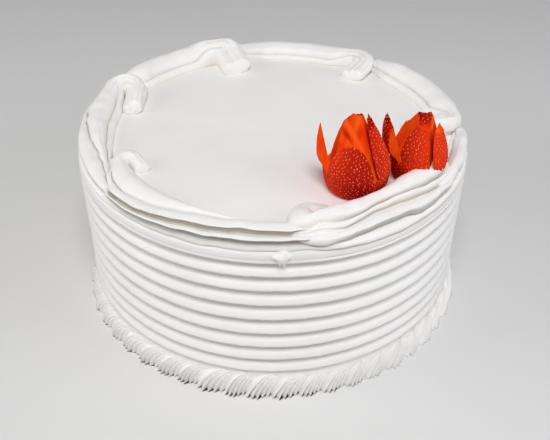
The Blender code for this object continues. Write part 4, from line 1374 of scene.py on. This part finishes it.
def ripeness(points, berry, thin):
    """How dark the skin is: darkest on one side, which is the left strawberry's riper front and painted
    shade on the right one's side towards it, paler on thin slices, darker at the top.
    """
    share = points[:, 2] / (berry.height * MM)
    azimuth = np.degrees(np.arctan2(points[:, 1], points[:, 0])) % 360.0
    side = bell(azimuth - berry.ripe.azimuth, berry.ripe.spread)
    shoulder = smooth_step((share - SHOULDER_START) / SHOULDER_EASE)
    tone = berry.ripe.least + berry.ripe.more * side * (0.98 - 0.25 * share) + 0.5 * shoulder
    return tone - (PALE_SLICE if thin else 0.0)


def cut_slices(name, berry, blank, middles):
    """Cut the cup and the core from a blank, and bend the slices out of the core.

    Gives the pieces, and for each the slice it is, if it is one, and which seeds sit on it.
    """
    cup = copy_piece(blank, name + "_cup")
    cut_piece(cup, UP * CUP_HEIGHT, UP)
    core = copy_piece(blank, name + "_core")
    cut_piece(core, UP * (CUP_HEIGHT - CORE_OVERLAP), -UP)
    bpy.data.objects.remove(blank, do_unlink=True)
    pieces, owners = [cup], [(None, middles[:, 2] < CUP_HEIGHT)]
    left = middles[:, 2] >= CUP_HEIGHT
    for cut in berry.slices:
        foot, normal = cut_plane(berry, cut)
        beyond = ahead_of(middles, (foot, normal))
        kept = left & (beyond > CUT_MARGIN)
        if cut.lean is not None:
            piece = copy_piece(core, name + "_slice")
            cut_piece(piece, foot, -normal)
            if cut.top:
                cut_piece(piece, *top_plane(cut))
                kept = kept & (ahead_of(middles, top_plane(cut)) < -CUT_MARGIN)
            store_value(piece, "ripeness", ripeness(read_points(piece), berry, True))
            write_points(piece, bend_out(read_points(piece), berry, cut))
            pieces.append(piece)
            owners.append((cut, kept))
        cut_piece(core, foot, normal)
        left = left & (beyond < -CUT_MARGIN)
    for piece in (cup, core):
        store_value(piece, "ripeness", ripeness(read_points(piece), berry, False))
    return pieces + [core], owners + [(None, left)]


def build_strawberry(name, berry, sizes, finishes, seed):
    """One tulip-cut strawberry: cup, core and bent slices, each capped with flesh, and its seeds."""
    azimuth, along = seed_places(berry, sizes.seed_spacing, seed).T
    seats = skin_frame(berry, azimuth, along)
    blank = berry_blank(berry, sizes, seats[0])
    blank.data.materials.append(finishes["skin"])
    blank.data.materials.append(finishes["flesh"])
    pieces, owners = cut_slices(name, berry, blank, seats[0])
    seeds = berry_seeds(name + "_seeds", berry, sizes, owners, seats, finishes["seed"], seed)
    fruit = join_pieces(name + "_fruit", pieces)
    bpy.ops.object.shade_smooth_by_angle(angle=math.radians(SHARP_EDGE))
    stand = Matrix.Translation((berry.x * MM, berry.y * MM, CAKE_TOP + BERRY_SINK))
    for piece in (fruit, seeds):
        piece.data.transform(stand)
        dress(piece, [name])


def seed_shape():
    """One small teardrop seed, lying along Y with its thin end up."""
    model = add_ball(8, 5)
    points = 0.5 * read_points(model)[:, (0, 2, 1)]
    points[:, 0] *= SEED_WIDTH * (1.0 - SEED_TAPER * points[:, 1])
    points[:, 2] *= SEED_THICKNESS
    faces = [tuple(face.vertices) for face in model.data.polygons]
    bpy.data.objects.remove(model, do_unlink=True)
    return points, faces


def berry_seeds(name, berry, sizes, owners, seats, material, seed):
    """All of a strawberry's seeds as one joined mesh; each follows the slice that it sits on."""
    model, faces = seed_shape()
    chance = random.Random(seed + 1)
    points, polygons = [], []
    for cut, chosen in owners:
        for middle, normal, tangent in zip(*(row[chosen] for row in seats)):
            side = np.cross(tangent, normal)
            turn = chance.uniform(-0.25, 0.25)
            along = tangent * math.cos(turn) + side * math.sin(turn)
            across = side * math.cos(turn) - tangent * math.sin(turn)
            size = sizes.seed_length * chance.uniform(0.65, 1.2)
            seat = middle - normal * SEED_SEAT * sizes.dimple_depth
            shape = seat + size * (model[:, :1] * across + model[:, 1:2] * along + model[:, 2:] * normal)
            if cut:
                shape = bend_out(shape, berry, cut)
            first = len(points) * len(model)
            points.append(shape)
            polygons.extend(tuple(first + i for i in face) for face in faces)
    mesh = bpy.data.meshes.new(name)
    mesh.from_pydata(np.concatenate(points).tolist(), [], polygons)
    piece = bpy.data.objects.new(name, mesh)
    bpy.context.scene.collection.objects.link(piece)
    close_up(piece)
    mesh.materials.append(material)
    return piece


class CAKE_OT_spread_cream(bpy.types.Operator):
    """Spread the whipped cream over the cake and comb its wall"""

    bl_idname = "cake.spread_cream"
    bl_label = "Spread and comb the cream"

    def execute(self, context):
        points, creases, shades = icing_points(context.scene.cake_cream)
        material = cream_finish("combed_cream", 1.0, (40.0, 40.0, 700.0), 0.8)
        icing = lay_grid("cake_cream", points, {"crease": creases, "shade": shades}, material)
        icing = join_pieces("cake_cream", [icing, cream_peak(material)])
        dress(icing, ["iced_cake"])
        return {"FINISHED"}


class CAKE_OT_pipe_shells(bpy.types.Operator):
    """Pipe the border of shells round the foot"""

    bl_idname = "cake.pipe_shells"
    bl_label = "Pipe the shell border"

    def execute(self, context):
        points, creases = shell_points(context.scene.cake_shells)
        material = cream_finish("shell_cream", 500.0)
        border = lay_grid("shell_border_cream", points, {"crease": creases}, material)
        dress(border, ["shell_border"])
        return {"FINISHED"}


class CAKE_OT_pipe_scrolls(bpy.types.Operator):
    """Pipe the seven scrolls of the rim"""

    bl_idname = "cake.pipe_scrolls"
    bl_label = "Pipe the scroll border"

    def execute(self, context):
        material = cream_finish("piped_cream", 260.0)
        for index in range(len(SCROLLS)):
            node = "border_scroll_%d" % (index + 1)
            points, creases, shades = scroll_points(index)
            scroll = lay_grid(node + "_cream", points, {"crease": creases, "shade": shades}, material)
            dress(scroll, [node])
        return {"FINISHED"}


class CAKE_OT_cut_strawberries(bpy.types.Operator):
    """Cut the two strawberries like tulips and stand them on the cake"""

    bl_idname = "cake.cut_strawberries"
    bl_label = "Cut the strawberries"

    def execute(self, context):
        finishes = {
            "skin": skin_finish("strawberry_skin"),
            "flesh": flesh_finish("strawberry_flesh"),
            "seed": seed_finish("strawberry_seed"),
        }
        for number, (name, berry) in enumerate(BERRIES.items()):
            build_strawberry(name, berry, context.scene.cake_strawberries, finishes, 500 + 10 * number)
        return {"FINISHED"}


class CAKE_OT_set_stage(bpy.types.Operator):
    """Lay the floor and set the camera and the lights"""

    bl_idname = "cake.set_stage"
    bl_label = "Set the stage"

    def execute(self, context):
        stage = context.scene.cake_stage
        deselect_all()
        bpy.ops.mesh.primitive_plane_add(size=6.0)
        floor = bpy.context.object
        floor.name = "floor"
        floor.data.materials.append(floor_finish("pale_floor"))
        set_camera(context.scene, stage)
        for name, place in LIGHTS.items():
            add_light(name, *place, getattr(stage, name))
        world = bpy.data.worlds.new("room")
        context.scene.world = world
        world.use_nodes = True
        background = world.node_tree.nodes["Background"]
        background.inputs["Color"].default_value = ROOM_COLOR
        background.inputs["Strength"].default_value = stage.room_light
        context.scene.view_settings.view_transform = "Standard"
        return {"FINISHED"}


def set_camera(scene, stage):
    """Camera at the height, distance and angle that the cake is seen from."""
    yaw, roll = math.radians(CAMERA_YAW), math.radians(CAMERA_ROLL)
    pitch = stage.camera_pitch
    ahead = Vector((math.sin(yaw) * math.cos(pitch), math.cos(yaw) * math.cos(pitch), -math.sin(pitch)))
    right = Vector((math.cos(yaw), -math.sin(yaw), 0.0))
    up = right.cross(ahead)
    across = right * math.cos(roll) + up * math.sin(roll)
    upright = up * math.cos(roll) - right * math.sin(roll)
    lens = bpy.data.cameras.new("camera")
    lens.sensor_width = CAMERA_SENSOR
    lens.lens = stage.focal_length
    camera = bpy.data.objects.new("camera", lens)
    scene.collection.objects.link(camera)
    turn = Matrix((across, upright, -ahead)).transposed().to_4x4()
    camera.matrix_world = Matrix.Translation((0.0, -stage.camera_back, stage.camera_height)) @ turn
    scene.camera = camera


def add_light(name, azimuth, elevation, distance, size, color, power):
    """Square soft light at an azimuth and an elevation in degrees, aimed at the cake."""
    azimuth, elevation = math.radians(azimuth), math.radians(elevation)
    flat = distance * math.cos(elevation)
    place = (flat * math.cos(azimuth), flat * math.sin(azimuth), distance * math.sin(elevation))
    lamp = bpy.data.lights.new(name, "AREA")
    lamp.shape = "SQUARE"
    lamp.size = size
    lamp.energy = power
    lamp.color = color
    light = bpy.data.objects.new(name, lamp)
    bpy.context.scene.collection.objects.link(light)
    light.location = place
    aim = UP * LIGHT_AIM - Vector(place)
    light.rotation_euler = aim.to_track_quat("-Z", "Y").to_euler()


class CAKE_PT_panel(bpy.types.Panel):
    """Lists the cake's operators and settings"""

    bl_label = "Tres leches cake"
    bl_idname = "CAKE_PT_panel"
    bl_space_type = "VIEW_3D"
    bl_region_type = "UI"
    bl_category = "Cake"

    def draw(self, context):
        layout = self.layout
        for operator in OPERATORS:
            layout.operator(operator.bl_idname)
        for holder in SETTINGS:
            box = layout.box()
            settings = getattr(context.scene, holder)
            for key in settings.__annotations__:
                box.prop(settings, key)


SETTINGS = {
    "cake_cream": CreamSettings,
    "cake_shells": ShellSettings,
    "cake_strawberries": StrawberrySettings,
    "cake_finish": FinishSettings,
    "cake_stage": StageSettings,
}
OPERATORS = (
    CAKE_OT_spread_cream,
    CAKE_OT_pipe_shells,
    CAKE_OT_pipe_scrolls,
    CAKE_OT_cut_strawberries,
    CAKE_OT_set_stage,
)


def register():
    """Register the settings, operators and panel."""
    for holder, group in SETTINGS.items():
        bpy.utils.register_class(group)
        setattr(bpy.types.Scene, holder, PointerProperty(type=group))
    for thing in OPERATORS + (CAKE_PT_panel,):
        bpy.utils.register_class(thing)


def unregister():
    """Take the panel, operators and settings away again."""
    for thing in (CAKE_PT_panel,) + OPERATORS[::-1]:
        bpy.utils.unregister_class(thing)
    for holder, group in SETTINGS.items():
        delattr(bpy.types.Scene, holder)
        bpy.utils.unregister_class(group)


def main():
    """Make every piece."""
    register()
    bpy.ops.cake.spread_cream()
    bpy.ops.cake.pipe_shells()
    bpy.ops.cake.pipe_scrolls()
    bpy.ops.cake.cut_strawberries()
    bpy.ops.cake.set_stage()


if __name__ == "__main__":
    main()
